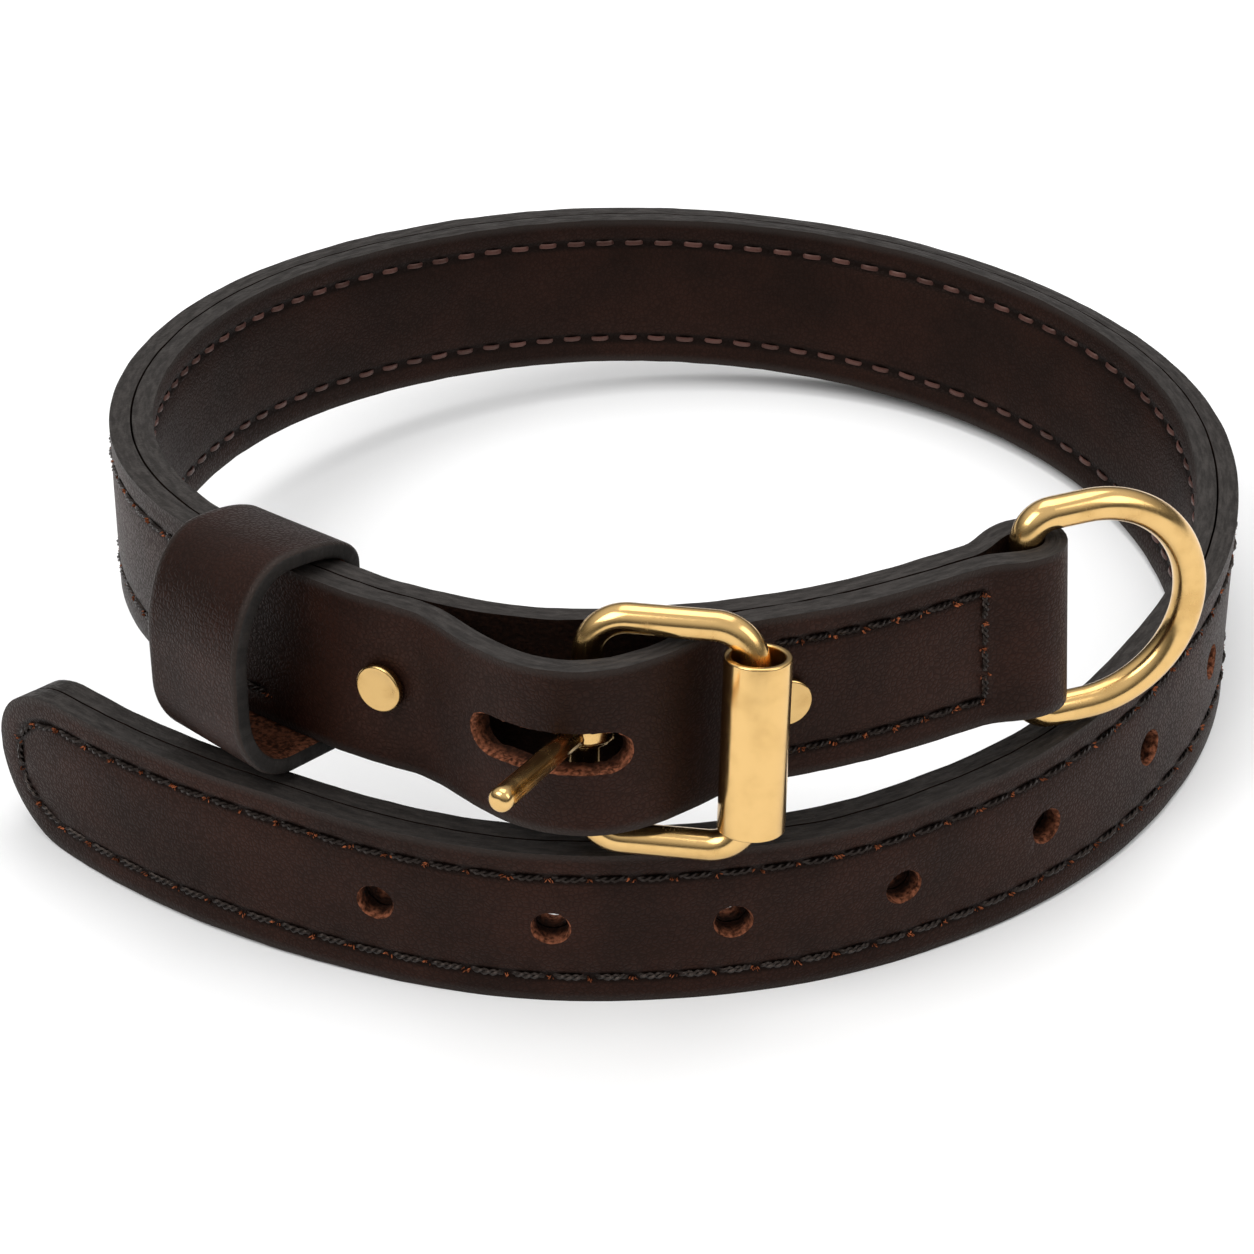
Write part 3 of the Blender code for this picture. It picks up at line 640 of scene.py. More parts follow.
def grain_material(name, colour, roughness, crease, groove):
    """Smooth dyed leather, darker at the burnished edge, with painted shade in the stitching's groove."""
    leather = bpy.context.scene.collar_leather
    stitching = bpy.context.scene.collar_stitching
    made, tree, shader = new_material(name)
    grain = use_group(tree, grain_group(), -900, 0, Cell_size=leather.grain_size, Crease=crease)
    dark = tuple(value * 0.72 for value in colour)
    light = tuple(value * factor for value, factor in zip(colour, (1.5, 1.3, 1.2)))
    base = colour_mix(tree, -600, 100, grain.outputs["Patches"], dark, light)
    tone = remap(tree, -760, -60, grain.outputs["Tone"], 0.3, 0.62, 0.72, 1.1)
    shade = add(tree, "ShaderNodeCombineColor", -600, -60)
    for socket in shade.inputs:
        join(tree, tone, socket)
    base = colour_mix(tree, -440, 60, 1.0, base, shade.outputs[0], "MULTIPLY")
    rim = add(tree, "ShaderNodeAttribute", -900, 420, attribute_name="rim_distance")
    burnish = remap(tree, -700, 420, rim.outputs["Fac"], 0.0003, 0.0016, 0.75, 0.0)
    base = colour_mix(tree, -280, 80, burnish, base, tuple(leather.rim_colour))
    # Painted shade: where groove is set, the colour is darkened along the line of stitching, as shade in
    # its groove.
    if groove:
        sewn = add(tree, "ShaderNodeAttribute", -900, 640, attribute_name="sewn")
        off = math_node(tree, "SUBTRACT", -700, 640, rim.outputs["Fac"], stitching.inset)
        off = math_node(tree, "ABSOLUTE", -560, 640, off)
        groove_shade = remap(tree, -420, 640, off, 0.0005, 0.0013, 0.95, 0.0)
        groove_shade = math_node(tree, "MULTIPLY", -260, 640, groove_shade, sewn.outputs["Fac"])
        base = colour_mix(tree, -120, 80, groove_shade, base, tuple(value * 0.15 for value in colour))
    join(tree, base, shader.inputs["Base Color"])
    rough = remap(tree, -600, -220, grain.outputs["Tone"], 0.25, 0.65, roughness + 0.1, roughness - 0.05)
    join(tree, rough, shader.inputs["Roughness"])
    put(shader, {"Specular IOR Level": 0.13, "Specular Tint": (1.0, 0.72, 0.62, 1.0)})
    bump(tree, shader, grain.outputs["Height"], 0.45, 0.0002)
    return made


def rim_material(name, lift=1.0):
    """Burnished charcoal edge with fibres running along it."""
    leather = bpy.context.scene.collar_leather
    made, tree, shader = new_material(name)
    fibres = use_group(tree, fibre_group(), -800, 0, Streak_length=0.004)
    # A lift below one gives a darker copy of the edge colour; the keeper's edges use one as painted shade.
    colour = tuple(value * lift for value in leather.rim_colour)
    dark = tuple(value * 0.6 for value in colour)
    light = tuple(value * 1.55 for value in colour)
    base = colour_mix(tree, -500, 100, fibres.outputs["Streaks"], dark, light)
    speck = math_node(tree, "MULTIPLY", -640, -160, fibres.outputs["Specks"], 0.6)
    base = colour_mix(tree, -300, 60, speck, base, colour)
    join(tree, base, shader.inputs["Base Color"])
    rough = remap(tree, -500, -220, fibres.outputs["Streaks"], 0.0, 1.0, 0.72, 0.5)
    join(tree, rough, shader.inputs["Roughness"])
    shader.inputs["Specular IOR Level"].default_value = 0.15
    bump(tree, shader, fibres.outputs["Height"], 0.4, 0.0003)
    return made


def raw_material(name, colour, streak):
    """Undyed flesh side and punched walls: fibrous, reddish brown and matt, darkened with painted shade the
    further they lie below the grain face.
    """
    made, tree, shader = new_material(name)
    fibres = use_group(tree, fibre_group(), -800, 0, Streak_length=streak)
    dark = tuple(value * 0.16 for value in colour)
    light = tuple(value * 1.9 for value in colour)
    base = colour_mix(tree, -500, 100, fibres.outputs["Specks"], dark, light)
    share = math_node(tree, "MULTIPLY", -500, -60, fibres.outputs["Streaks"], 0.4)
    base = colour_mix(tree, -300, 60, share, base, colour)
    # Painted shade: the colour darkens to almost black with depth below the grain face, deep in punched
    # holes and the slot and on the flesh sides between the plies.
    depth = add(tree, "ShaderNodeAttribute", -500, 300, attribute_name="depth")
    inside = remap(tree, -300, 300, depth.outputs["Fac"], 0.1, 0.85, 0.0, 0.93)
    base = colour_mix(tree, -120, 100, inside, base, tuple(value * 0.04 for value in colour))
    join(tree, base, shader.inputs["Base Color"])
    put(shader, {"Roughness": 0.85, "Specular IOR Level": 0.1, "Specular Tint": (1.0, 0.8, 0.7, 1.0)})
    bump(tree, shader, fibres.outputs["Height"], 0.8, 0.0004)
    return made


def thread_material(name, colour):
    """Waxed twisted thread, a little different from stitch to stitch."""
    made, tree, shader = new_material(name)
    shade = add(tree, "ShaderNodeAttribute", -800, 100, attribute_name="stitch_shade")
    place = add(tree, "ShaderNodeTexCoord", -800, -200)
    fuzz = noise_texture(tree, -600, -200, place.outputs["Object"], 4200.0, 3.0)
    dark = tuple(value * 0.35 for value in colour)
    light = tuple(value * 1.8 for value in colour)
    share = math_node(tree, "MULTIPLY_ADD", -400, 60, fuzz.outputs[0], 0.5, shade.outputs["Fac"])
    base = colour_mix(tree, -200, 60, share, dark, light)
    join(tree, base, shader.inputs["Base Color"])
    join(tree, remap(tree, -400, -120, fuzz.outputs[0], 0.3, 0.7, 0.28, 0.45), shader.inputs["Roughness"])
    put(shader, {"Specular IOR Level": 0.32, "Specular Tint": (1.0, 0.8, 0.7, 1.0)})
    bump(tree, shader, fuzz.outputs[0], 0.4, 0.0001)
    return made


def brass_material(name, marks, lift=1.0):
    """Polished solid brass with handling marks."""
    brass = bpy.context.scene.collar_brass
    made, tree, shader = new_material(name)
    wear = use_group(tree, polish_group(), -800, 0, Marks=marks)
    colour = tuple(min(value * lift, 1.0) for value in brass.colour)
    dull = (colour[0] * 0.72, colour[1] * 0.66, colour[2] * 0.55)
    share = math_node(tree, "MULTIPLY", -560, 120, wear.outputs["Tarnish"], 0.5)
    base = colour_mix(tree, -400, 100, share, colour, dull)
    join(tree, base, shader.inputs["Base Color"])
    rough = math_node(tree, "MULTIPLY_ADD", -400, -100, wear.outputs["Dulling"], 0.12, brass.roughness)
    join(tree, rough, shader.inputs["Roughness"])
    shader.inputs["Metallic"].default_value = 1.0
    bump(tree, shader, wear.outputs["Height"], 0.06, 0.0002)
    return made


def link(obj, body, node=None):
    bpy.context.scene.collection.objects.link(obj)
    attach(obj, body)
    if node:
        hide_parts(node)
    return obj


def burnish(obj):
    """Rounds the corners between the leather's faces and its edges."""
    rounding = obj.modifiers.new("Burnished corners", "BEVEL")
    rounding.width = bpy.context.scene.collar_leather.edge_rounding
    rounding.segments = 3
    rounding.limit_method = "ANGLE"
    rounding.angle_limit = math.radians(60)
    return rounding


def cut_away(obj, tool, solver):
    """The object's mesh with the tool's shape taken out of it. Both objects go."""
    for item in (obj, tool):
        bpy.context.scene.collection.objects.link(item)
    cut = obj.modifiers.new("Cut", "BOOLEAN")
    cut.operation = "DIFFERENCE"
    cut.solver = solver
    cut.object = tool
    bpy.context.view_layer.update()
    graph = bpy.context.evaluated_depsgraph_get()
    made = bpy.data.meshes.new_from_object(obj.evaluated_get(graph))
    bpy.data.objects.remove(obj)
    bpy.data.objects.remove(tool)
    return made


def bridge(bm, rings):
    """Faces between closed rings of as many points each."""
    for a, b in zip(rings, rings[1:]):
        for k in range(len(a)):
            n = (k + 1) % len(a)
            bm.faces.new((a[k], a[n], b[n], b[k]))


def smooth(mesh, degrees=35):
    mesh.shade_smooth()
    mesh.set_sharp_from_angle(angle=math.radians(degrees))


def strap_columns(length, fine):
    """Places along the flat ply: close together round the tip and in the fold."""
    columns = []
    for k in range(1, 15):
        columns.append(TIP_ROUNDING * (1 - math.cos(math.pi / 2 * k / 14)))
    while columns[-1] < length - 0.003:
        inside = fine is not None and fine[0] < columns[-1] < fine[1]
        columns.append(columns[-1] + (FINE_STEP if inside else STEP))
    columns.append(length)
    return columns


def strap_rows(inset):
    """Offsets from the middle of the strap to its rows, closer along the stitching."""
    line = HALF_WIDTH - inset
    half = [0.0, 0.004, line - 0.0011, line - 0.0005, line, line + 0.0005, line + 0.0011]
    half += [HALF_WIDTH - 0.0016, HALF_WIDTH]
    return [-value for value in reversed(half[1:])] + half


def stadium(length, width):
    """A round-ended outline as offsets from its middle, each with its direction outwards."""
    half = (length - width) / 2
    steps = 18
    outline = []
    for end in (1, -1):
        for k in range(steps + 1):
            angle = math.pi * (k / steps - 0.5)
            out_x, out_z = end * math.cos(angle), end * math.sin(angle)
            outline.append((end * half + out_x * width / 2, out_z * width / 2, out_x, out_z))
        straight = round(2 * half / FINE_STEP)
        for k in range(1, straight):
            x = end * half * (1 - 2 * k / straight)
            outline.append((x, end * width / 2, 0.0, float(end)))
    if half < 1e-6:
        outline.pop(steps)
        outline.pop()
    return outline


def punch(cuts, face_at, into):
    """One tool for all that is punched through a ply, wider at the face where the punch went in."""
    bm = bmesh.new()
    for distance, length, width in cuts:
        rings = []
        for depth in (-3.0, -0.02, 0.04, 0.1, 0.2, 0.35, 0.5, 0.65, 0.8, 0.95, 4.0):
            flare = LIP * max(1 - max(depth, 0.0) / LIP_DEPTH, 0.0) ** 2
            ring = []
            for x, z, out_x, out_z in stadium(length, width):
                torn = noise.noise(Vector((distance + x, depth * PLY, z)) * 900) * TEAR * width
                wider = flare + (torn if 0 < depth < 1 else 0.0)
                along, up = distance + x + out_x * wider, HALF_WIDTH + z + out_z * wider
                ring.append(bm.verts.new((along, face_at + into * depth * PLY, up)))
            rings.append(ring)
        bridge(bm, rings)
        bm.faces.new(rings[0])
        bm.faces.new(rings[-1])
    bmesh.ops.recalc_face_normals(bm, faces=bm.faces)
    for face in bm.faces:
        face.material_index = CUT
    mesh = bpy.data.meshes.new("punch")
    bm.to_mesh(mesh)
    bm.free()
    return bpy.data.objects.new("punch", mesh)


def strap_ply(name, path, length, near, far, grain_side, cuts, fine, sewn, skins):
    """One ply of the strap, made flat, punched, and laid along its path."""
    leather = bpy.context.scene.collar_leather
    stitching = bpy.context.scene.collar_stitching
    columns = strap_columns(length, fine)
    rows = strap_rows(stitching.inset)
    mesh = bpy.data.meshes.new(name)
    bm = bmesh.new()
    bmesh.ops.create_grid(bm, x_segments=len(columns) - 1, y_segments=len(rows) - 1, size=1)
    for vert in bm.verts:
        i = round((vert.co.x + 1) / 2 * (len(columns) - 1))
        j = round((vert.co.y + 1) / 2 * (len(rows) - 1))
        x = columns[i]
        share = 1.0
        if x < TIP_ROUNDING:
            share = math.sqrt(1 - ((TIP_ROUNDING - x) / TIP_ROUNDING) ** 2)
        vert.co = (x, near, HALF_WIDTH + rows[j] * share)
    bmesh.ops.recalc_face_normals(bm, faces=bm.faces)
    if sum(face.normal.y for face in bm.faces) < 0:
        bmesh.ops.reverse_faces(bm, faces=bm.faces)
    near_skin, far_skin = (GRAIN, FLESH) if grain_side == "near" else (FLESH, GRAIN)
    for face in bm.faces:
        face.material_index = near_skin
    bm.to_mesh(mesh)
    bm.free()
    for skin in skins:
        mesh.materials.append(skin)
    obj = bpy.data.objects.new(name, mesh)
    shell = obj.modifiers.new("Thickness", "SOLIDIFY")
    shell.thickness = near - far
    shell.offset = -1.0
    shell.material_offset = far_skin - near_skin
    shell.material_offset_rim = RIM - near_skin
    burnish(obj).material = RIM
    tool = punch(cuts, near, -1) if grain_side == "near" else punch(cuts, far, 1)
    for skin in skins:
        tool.data.materials.append(skin)
    made = cut_away(obj, tool, "EXACT")
    bm = bmesh.new()
    bm.from_mesh(made)
    bmesh.ops.triangulate(bm, faces=[face for face in bm.faces if len(face.verts) > 4])
    keys = ("rim_distance", "sewn", "along", "inward", "across", "depth")
    layers = [bm.verts.layers.float.new(key) for key in keys]
    grain_at = near if grain_side == "near" else far
    sign = 1 if grain_side == "near" else -1
    for vert in bm.verts:
        distance, inward, height = vert.co
        rim = max(rim_distance(distance, height, TIP_ROUNDING), 0.0)
        on_seam = 1.0 if any(low <= distance <= high for low, high in sewn) else 0.0
        # The last value, depth below the grain face, is read only to paint shade onto the raw leather.
        values = (rim, on_seam, distance, inward, height, abs(inward - grain_at) / PLY)
        if abs(inward - grain_at) < leather.edge_rounding * 0.5 and on_seam:
            dip = stitching.groove * math.exp(-(((rim - stitching.inset) / GROOVE_REACH) ** 2))
            inward -= sign * dip
        if rim < ROUGH_RIM:
            rough = noise.noise(Vector((distance * 260, inward * 900, height * 60)))
            height += math.copysign(UNEVEN, HALF_WIDTH - height) * rough
        vert.co = path.place(distance, inward, height)
        for layer, value in zip(layers, values):
            vert[layer] = value
    bm.to_mesh(made)
    bm.free()
    smooth(made, 40)
    made.name = name
    return bpy.data.objects.new(name, made)


class COLLAR_OT_strap(bpy.types.Operator):
    """Builds the two plies of the strap with their grain, edges and punched walls"""

    bl_idname = "collar.strap"
    bl_label = "Strap plies"

    def execute(self, context):
        leather = context.scene.collar_leather
        lay = LAYOUT
        outer_grain = grain_material("outer_leather_grain", tuple(leather.grain_colour), 0.46, 0.25, True)
        lining_grain = grain_material("lining_leather_grain", tuple(leather.lining_colour), 0.52, 0.2, True)
        rim = rim_material("burnished_edge")
        flesh = raw_material("flesh_side", tuple(value * 0.35 for value in leather.flesh_colour), 0.003)
        cut = raw_material("punched_wall", tuple(leather.flesh_colour), 0.0015)

        bore = RIVET_SHANK + 2 * RIVET_FIT
        cuts = [(carried(d, lay.front), HOLE_DIAMETER, HOLE_DIAMETER) for d in lay.holes]
        for distance in (lay.rivet_1, lay.rivet_2):
            cuts.append((carried(distance, lay.front), bore, bore))
            cuts.append((carried(distance, lay.back), bore, bore))
        cuts.append((carried(lay.heel, lay.front) - SLOT_BEHIND_HEEL, SLOT_LENGTH, SLOT_WIDTH))
        fine = (
            carried(lay.middle.length - D_RAMP, lay.front),
            carried(lay.middle.length - D_RAMP, lay.back),
        )
        sewn = [
            (0.0, carried(lay.keeper, lay.front)),
            (carried(lay.tab_start, lay.front), carried(lay.tab_end, lay.front)),
            (carried(lay.tab_end, lay.back), carried(lay.tab_start, lay.back)),
        ]
        skins = [outer_grain, flesh, rim, cut]
        outer = strap_ply(
            "outer_ply_leather", lay.outer, lay.outer.length, 0.0, -PLY, "far",
            cuts, fine, sewn, skins,
        )
        link(outer, "strap", "strap_outer_ply")

        length = lay.heel - BUTT_FROM_HEEL - BUTT_GAP
        skins = [lining_grain, flesh, rim, cut]
        lining = strap_ply(
            "lining_ply_leather", lay.middle, length, THICKNESS / 2, PLY_GAP / 2, "near",
            [(d, HOLE_DIAMETER, HOLE_DIAMETER) for d in lay.holes], None, [(0.0, length)], skins,
        )
        link(lining, "strap", "strap_lining_ply")
        return {"FINISHED"}


def keeper_outline(room, foot, steps):
    """The inside of the keeper loop, as distances outwards and upwards from the strap's middle."""
    back = -(THICKNESS / 2 + KEEPER_BACK_FIT)
    front = THICKNESS / 2 + room
    low = -KEEPER_UNDER_FIT
    high = STRAP_WIDTH + KEEPER_OVER_FIT
    shoulder = STRAP_WIDTH - KEEPER_SHOULDER
    corner = KEEPER_CORNER
    apex = THICKNESS
    outline = []
    for x, z, a, b, start, end, share in (
        (back + corner, low + corner, corner, corner, 180, 270, 0.5),
        (foot, low + high * 0.32, front - foot, high * 0.32, 270, 360, 1),
        (apex, high * 0.53, front - apex, high * 0.47, 0, 90, 1),
        (apex, shoulder, apex - back, high - shoulder, 90, 180, 1),
    ):
        count = round(steps * share)
        for k in range(count + 1):
            angle = math.radians(start + (end - start) * k / count)
            outline.append((x + a * math.cos(angle), z + b * math.sin(angle)))
    return outline


class COLLAR_OT_keeper(bpy.types.Operator):
    """Builds the leather keeper loop"""

    bl_idname = "collar.keeper"
    bl_label = "Keeper loop"

    def execute(self, context):
        leather = context.scene.collar_leather
        stations = 12
        bm = bmesh.new()
        layers = [bm.verts.layers.float.new(key) for key in ("rim_distance", "along", "inward", "across")]
        rings = []
        for i in range(stations + 1):
            share = i / stations
            along = (share - 0.5) * KEEPER_WIDTH
            room = KEEPER_FAR_ROOM + (KEEPER_NEAR_ROOM - KEEPER_FAR_ROOM) * share
            foot = KEEPER_FAR_FOOT + (KEEPER_NEAR_FOOT - KEEPER_FAR_FOOT) * share
            rim = []
            run = 0.0
            before = None
            for out, up in keeper_outline(room, foot, 24):
                here = Vector((out, up))
                run += (here - before).length if before else 0.0
                before = here
                wave = noise.noise(Vector((along * 90, out * 120, up * 120))) * UNEVEN
                vert = bm.verts.new((along, -out - wave, up + wave))
                for layer, value in zip(layers, (min(share, 1 - share) * KEEPER_WIDTH, run, along, 0.0)):
                    vert[layer] = value
                rim.append(vert)
            rings.append(rim)
        faces = []
        for a, b in zip(rings, rings[1:]):
            for k in range(len(a)):
                n = (k + 1) % len(a)
                if (a[k].co - a[n].co).length < 1e-6 and (b[k].co - b[n].co).length < 1e-6:
                    continue
                faces.append(bm.faces.new((a[k], a[n], b[n], b[k])))
        bmesh.ops.remove_doubles(bm, verts=bm.verts, dist=1e-6)
        centre = sum((vert.co for vert in bm.verts), Vector()) / len(bm.verts)
        if sum((face.calc_center_median() - centre).dot(face.normal) for face in bm.faces) < 0:
            bmesh.ops.reverse_faces(bm, faces=bm.faces)
        for face in bm.faces:
            face.material_index = GRAIN
        mesh = bpy.data.meshes.new("keeper_leather")
        bm.to_mesh(mesh)
        bm.free()
        smooth(mesh)
        grain = grain_material("keeper_leather_grain", tuple(leather.keeper_colour), 0.36, 0.3, False)
        flesh = tuple(value * 0.55 for value in leather.flesh_colour)
        inside = raw_material("keeper_flesh_side", flesh, 0.003)
        # Painted shade: the keeper's edges get the edge colour darkened to 0.62, shading these front edges.
        for skin in (grain, inside, rim_material("keeper_edge", 0.62)):
            mesh.materials.append(skin)
        obj = bpy.data.objects.new("keeper_leather", mesh)
        shell = obj.modifiers.new("Thickness", "SOLIDIFY")
        shell.thickness = KEEPER_WALL
        shell.offset = 1.0
        shell.use_even_offset = True
        shell.material_offset = FLESH - GRAIN
        shell.material_offset_rim = RIM - GRAIN
        burnish(obj)
        point, ahead, outward, up = LAYOUT.middle.at(LAYOUT.keeper)
        axes = Matrix((ahead, -outward, up)).transposed().to_4x4()
        obj.matrix_world = Matrix.Translation(point) @ axes
        link(obj, "strap", "keeper_loop")
        return {"FINISHED"}


class Threads:
    """Gathers many twisted stitches into one mesh."""

    def __init__(self, name, strand, seed, flat=False):
        self.name = name
        self.strand = strand
        self.flat = flat
        self.gap = FLAT_GAP if flat else TWISTED_GAP
        self.knots = []
        self.pick = random.Random(seed)
        self.verts, self.faces, self.shades = [], [], []

    def stitch(self, start, end, out, sections=12, sides=5):
        """Two strands twisted round each other, sunk into the leather at both ends."""
        pick = self.pick
        side = (end - start).cross(out).normalized()
        start = start + side * pick.uniform(-UNEVEN, UNEVEN)
        end = end + side * pick.uniform(-UNEVEN, UNEVEN)
        ahead = (end - start).normalized()
        twist = 0.0 if self.flat else self.strand * 0.95
        wide = self.strand * (1.6 if self.flat else 1.0)
        thick = self.strand * (0.8 if self.flat else 1.0)
        shade = pick.uniform(0.0, 0.5)
        phase = pick.uniform(0, math.pi)
        for k in range(1 if self.flat else 2):
            first = len(self.verts)
            for i in range(sections + 1):
                t = i / sections
                rise = math.sin(math.pi * t) ** 0.4
                angle = phase + math.pi * (2 * TWISTS * t + k)
                centre = start.lerp(end, t) + out * (self.strand * (RISE * rise - SUNK))
                spread = twist * (0.55 + 0.45 * math.sin(math.pi * t))
                centre += (side * math.cos(angle) + out * math.sin(angle)) * spread
                across = (side - ahead * side.dot(ahead)).normalized()
                for j in range(sides):
                    turn = 2 * math.pi * j / sides
                    offset = across * math.cos(turn) * wide + out * math.sin(turn) * thick
                    self.verts.append(centre + offset)
                    self.shades.append(shade)
            for i in range(sections):
                for j in range(sides):
                    a = first + i * sides + j
                    b = first + i * sides + (j + 1) % sides
                    self.faces.append((a, b, b + sides, a + sides))
            self.faces.append(tuple(range(first + sides - 1, first - 1, -1)))
            last = first + sections * sides
            self.faces.append(tuple(range(last, last + sides)))

    def run(self, path, line, pitch, face_at, sign):
        """Stitches at an even pitch along a line of flat points, on one face of a ply."""
        spans = [0.0]
        for a, b in zip(line, line[1:]):
            spans.append(spans[-1] + math.dist(a, b))
        count = max(round(spans[-1] / pitch), 1)
        knots = []
        i = 0
        for k in range(count + 1):
            want = spans[-1] * k / count
            while i < len(spans) - 2 and spans[i + 1] < want:
                i += 1
            share = (want - spans[i]) / (spans[i + 1] - spans[i])
            knots.append([u + (v - u) * share for u, v in zip(line[i], line[i + 1])])
        for a, b in zip(knots, knots[1:]):
            start = [u + (v - u) * self.gap for u, v in zip(a, b)]
            end = [u + (v - u) * (1 - self.gap) for u, v in zip(a, b)]
            _, _, outward, _ = path.at((a[0] + b[0]) / 2)
            self.stitch(
                path.place(start[0], face_at, start[1]),
                path.place(end[0], face_at, end[1]),
                outward * sign,
            )
        for distance, height in knots:
            _, ahead, outward, up = path.at(distance)
            self.knots.append((path.place(distance, face_at, height), ahead, outward * sign, up))

    def torn_fibres(self, name, skin):
        """Slivers of raw leather that the needle pulled up beside each stitch hole."""
        pick = self.pick
        verts, faces = [], []
        for at, ahead, out, up in self.knots:
            for _ in range(pick.choice((4, 5, 6, 8))):
                root = at + ahead * pick.uniform(-0.0005, 0.0005) - up * pick.uniform(0.0, 0.00055)
                tip = root + ahead * pick.uniform(-0.0007, 0.0007) + up * pick.uniform(-0.0003, 0.0003)
                tip += out * pick.uniform(0.0004, 0.0008)
                middle = (root + tip) / 2
                width = pick.uniform(0.0001, 0.00026)
                first = len(verts)
                verts += [root, middle + up * width, middle - up * width, middle + out * width, tip]
                for a, b in ((1, 2), (2, 3), (3, 1)):
                    faces += [(first, first + a, first + b), (first + 4, first + b, first + a)]
        mesh = bpy.data.meshes.new(name)
        mesh.from_pydata(verts, [], faces)
        mesh.materials.append(skin)
        return bpy.data.objects.new(name, mesh)

    def piece(self, skin):
        mesh = bpy.data.meshes.new(self.name)
        mesh.from_pydata(self.verts, [], self.faces)
        shade = mesh.attributes.new("stitch_shade", "FLOAT", "POINT")
        shade.data.foreach_set("value", self.shades)
        mesh.materials.append(skin)
        smooth(mesh, 60)
        return bpy.data.objects.new(self.name, mesh)


def line_round_tip(end, inset):
    """The line of stitching, up one edge to the tip, round it and back along the other."""
    low, high = inset, STRAP_WIDTH - inset
    half = HALF_WIDTH - inset
    reach = TIP_ROUNDING - inset
    line = [(end, low), (TIP_ROUNDING, low)]
    for k in range(1, 24):
        angle = -math.pi / 2 - math.pi * k / 24
        line.append((TIP_ROUNDING + reach * math.cos(angle), HALF_WIDTH + half * math.sin(angle)))
    line += [(TIP_ROUNDING, high), (end, high)]
    fine = []
    for a, b in zip(line, line[1:]):
        steps = max(round(math.dist(a, b) / 0.001), 1)
        fine += [tuple(u + (v - u) * k / steps for u, v in zip(a, b)) for k in range(steps)]
    return fine + [line[-1]]


class COLLAR_OT_stitching(bpy.types.Operator):
    """Sews the strap's outside, its inside and the folded tab"""

    bl_idname = "collar.stitching"
    bl_label = "Stitching"

    def execute(self, context):
        stitching = context.scene.collar_stitching
        lay = LAYOUT
        inset = stitching.inset
        sink = stitching.groove
        dark = thread_material("outer_thread", tuple(stitching.outer_colour))
        brown = thread_material("inner_thread", tuple(stitching.inner_colour))

        outside = Threads("outside_stitching", stitching.strand, 3)
        end = carried(lay.keeper, lay.front)
        outside.run(lay.outer, line_round_tip(end, inset), stitching.pitch, -PLY + sink, 1)
        link(outside.piece(dark), "strap")
        torn = raw_material("torn_leather", (0.24, 0.07, 0.028), 0.001)
        link(outside.torn_fibres("outside_stitch_holes", torn), "strap")

        inside = Threads("inside_stitching", stitching.strand, 5, flat=True)
        end = lay.heel - BUTT_FROM_HEEL - 0.004
        inside.run(lay.middle, line_round_tip(end, inset), stitching.inside_pitch, THICKNESS / 2 - sink, -1)
        link(inside.piece(brown), "strap")

        tab = Threads("tab_stitching", stitching.strand, 7)
        start = carried(lay.tab_start, lay.front)
        end = carried(lay.tab_end, lay.front)
        high = STRAP_WIDTH - inset
        for line in ([(start, high), (end, high)], [(start, inset), (end, inset)]):
            tab.run(lay.outer, line, stitching.tab_pitch, -PLY + sink, 1)
        tab.run(lay.outer, [(end, high), (end, inset)], stitching.tab_pitch, -PLY, 1)
        link(tab.piece(dark), "strap")
        link(tab.torn_fibres("tab_stitch_holes", torn), "strap")

        back = Threads("tab_back_stitching", stitching.strand, 9, flat=True)
        start = carried(lay.tab_start, lay.back)
        end = carried(lay.tab_end, lay.back)
        for line in ([(start, high), (end, high)], [(start, inset), (end, inset)]):
            back.run(lay.outer, line, stitching.tab_pitch, -PLY + sink, 1)
        back.run(lay.outer, [(end, high), (end, inset)], stitching.tab_pitch, -PLY, 1)
        link(back.piece(brown), "strap")
        return {"FINISHED"}


def turned(name, profile, steps, closed):
    """A shape turned about Z from points of distance from the axis and height."""
    mesh = bpy.data.meshes.new(name)
    bm = bmesh.new()
    verts = [bm.verts.new((x, 0, z)) for x, z in profile]
    pairs = zip(verts, verts[1:] + verts[:1]) if closed else zip(verts, verts[1:])
    for a, b in pairs:
        bm.edges.new((a, b))
    bm.to_mesh(mesh)
    bm.free()
    obj = bpy.data.objects.new(name, mesh)
    screw = obj.modifiers.new("Turned", "SCREW")
    screw.steps = steps
    screw.render_steps = steps
    screw.use_merge_vertices = True
    screw.merge_threshold = 0.00001
    screw.use_smooth_shade = True
    return obj


def arc(cx, cz, radius, start, end, steps):
    angles = [math.radians(start + (end - start) * k / steps) for k in range(steps + 1)]
    return [(cx + radius * math.cos(a), cz + radius * math.sin(a)) for a in angles]


class COLLAR_OT_rivets(bpy.types.Operator):
    """Sets the two brass rivets"""

    bl_idname = "collar.rivets"
    bl_label = "Rivets"

    def execute(self, context):
        grip = THICKNESS / 2 + RIVET_FIT
        head = RIVET_HEAD / 2
        top = RIVET_HEAD_HEIGHT
        edge = 0.00038
        cap = [(0.0, top * 0.97), (head * 0.4, top * 0.965), (head * 0.74, top * 0.95), (head * 0.79, top)]
        cap += arc(head - edge, top - edge, edge, 90, 0, 7)
        cap += [(head, 0.0002), (head - 0.0002, 0.0), (RIVET_SHANK / 2, 0.0)]
        profile = [(x, grip + z) for x, z in cap]
        profile += [(x, -grip - z) for x, z in reversed(cap)]
        for name, node, distance in (
            ("keeper_rivet_brass", "rivet_by_keeper", LAYOUT.rivet_1),
            ("roller_rivet_brass", "rivet_by_roller", LAYOUT.rivet_2),
        ):
            obj = turned(name, profile, 64, False)
            obj.data.materials.append(brass_material(name + "_metal", 1.2, 0.82))
            point, ahead, outward, up = LAYOUT.middle.at(distance)
            axes = Matrix((ahead, -up, outward)).transposed().to_4x4()
            obj.matrix_world = Matrix.Translation(point + up * HALF_WIDTH) @ axes
            link(obj, "strap", node)
        return {"FINISHED"}


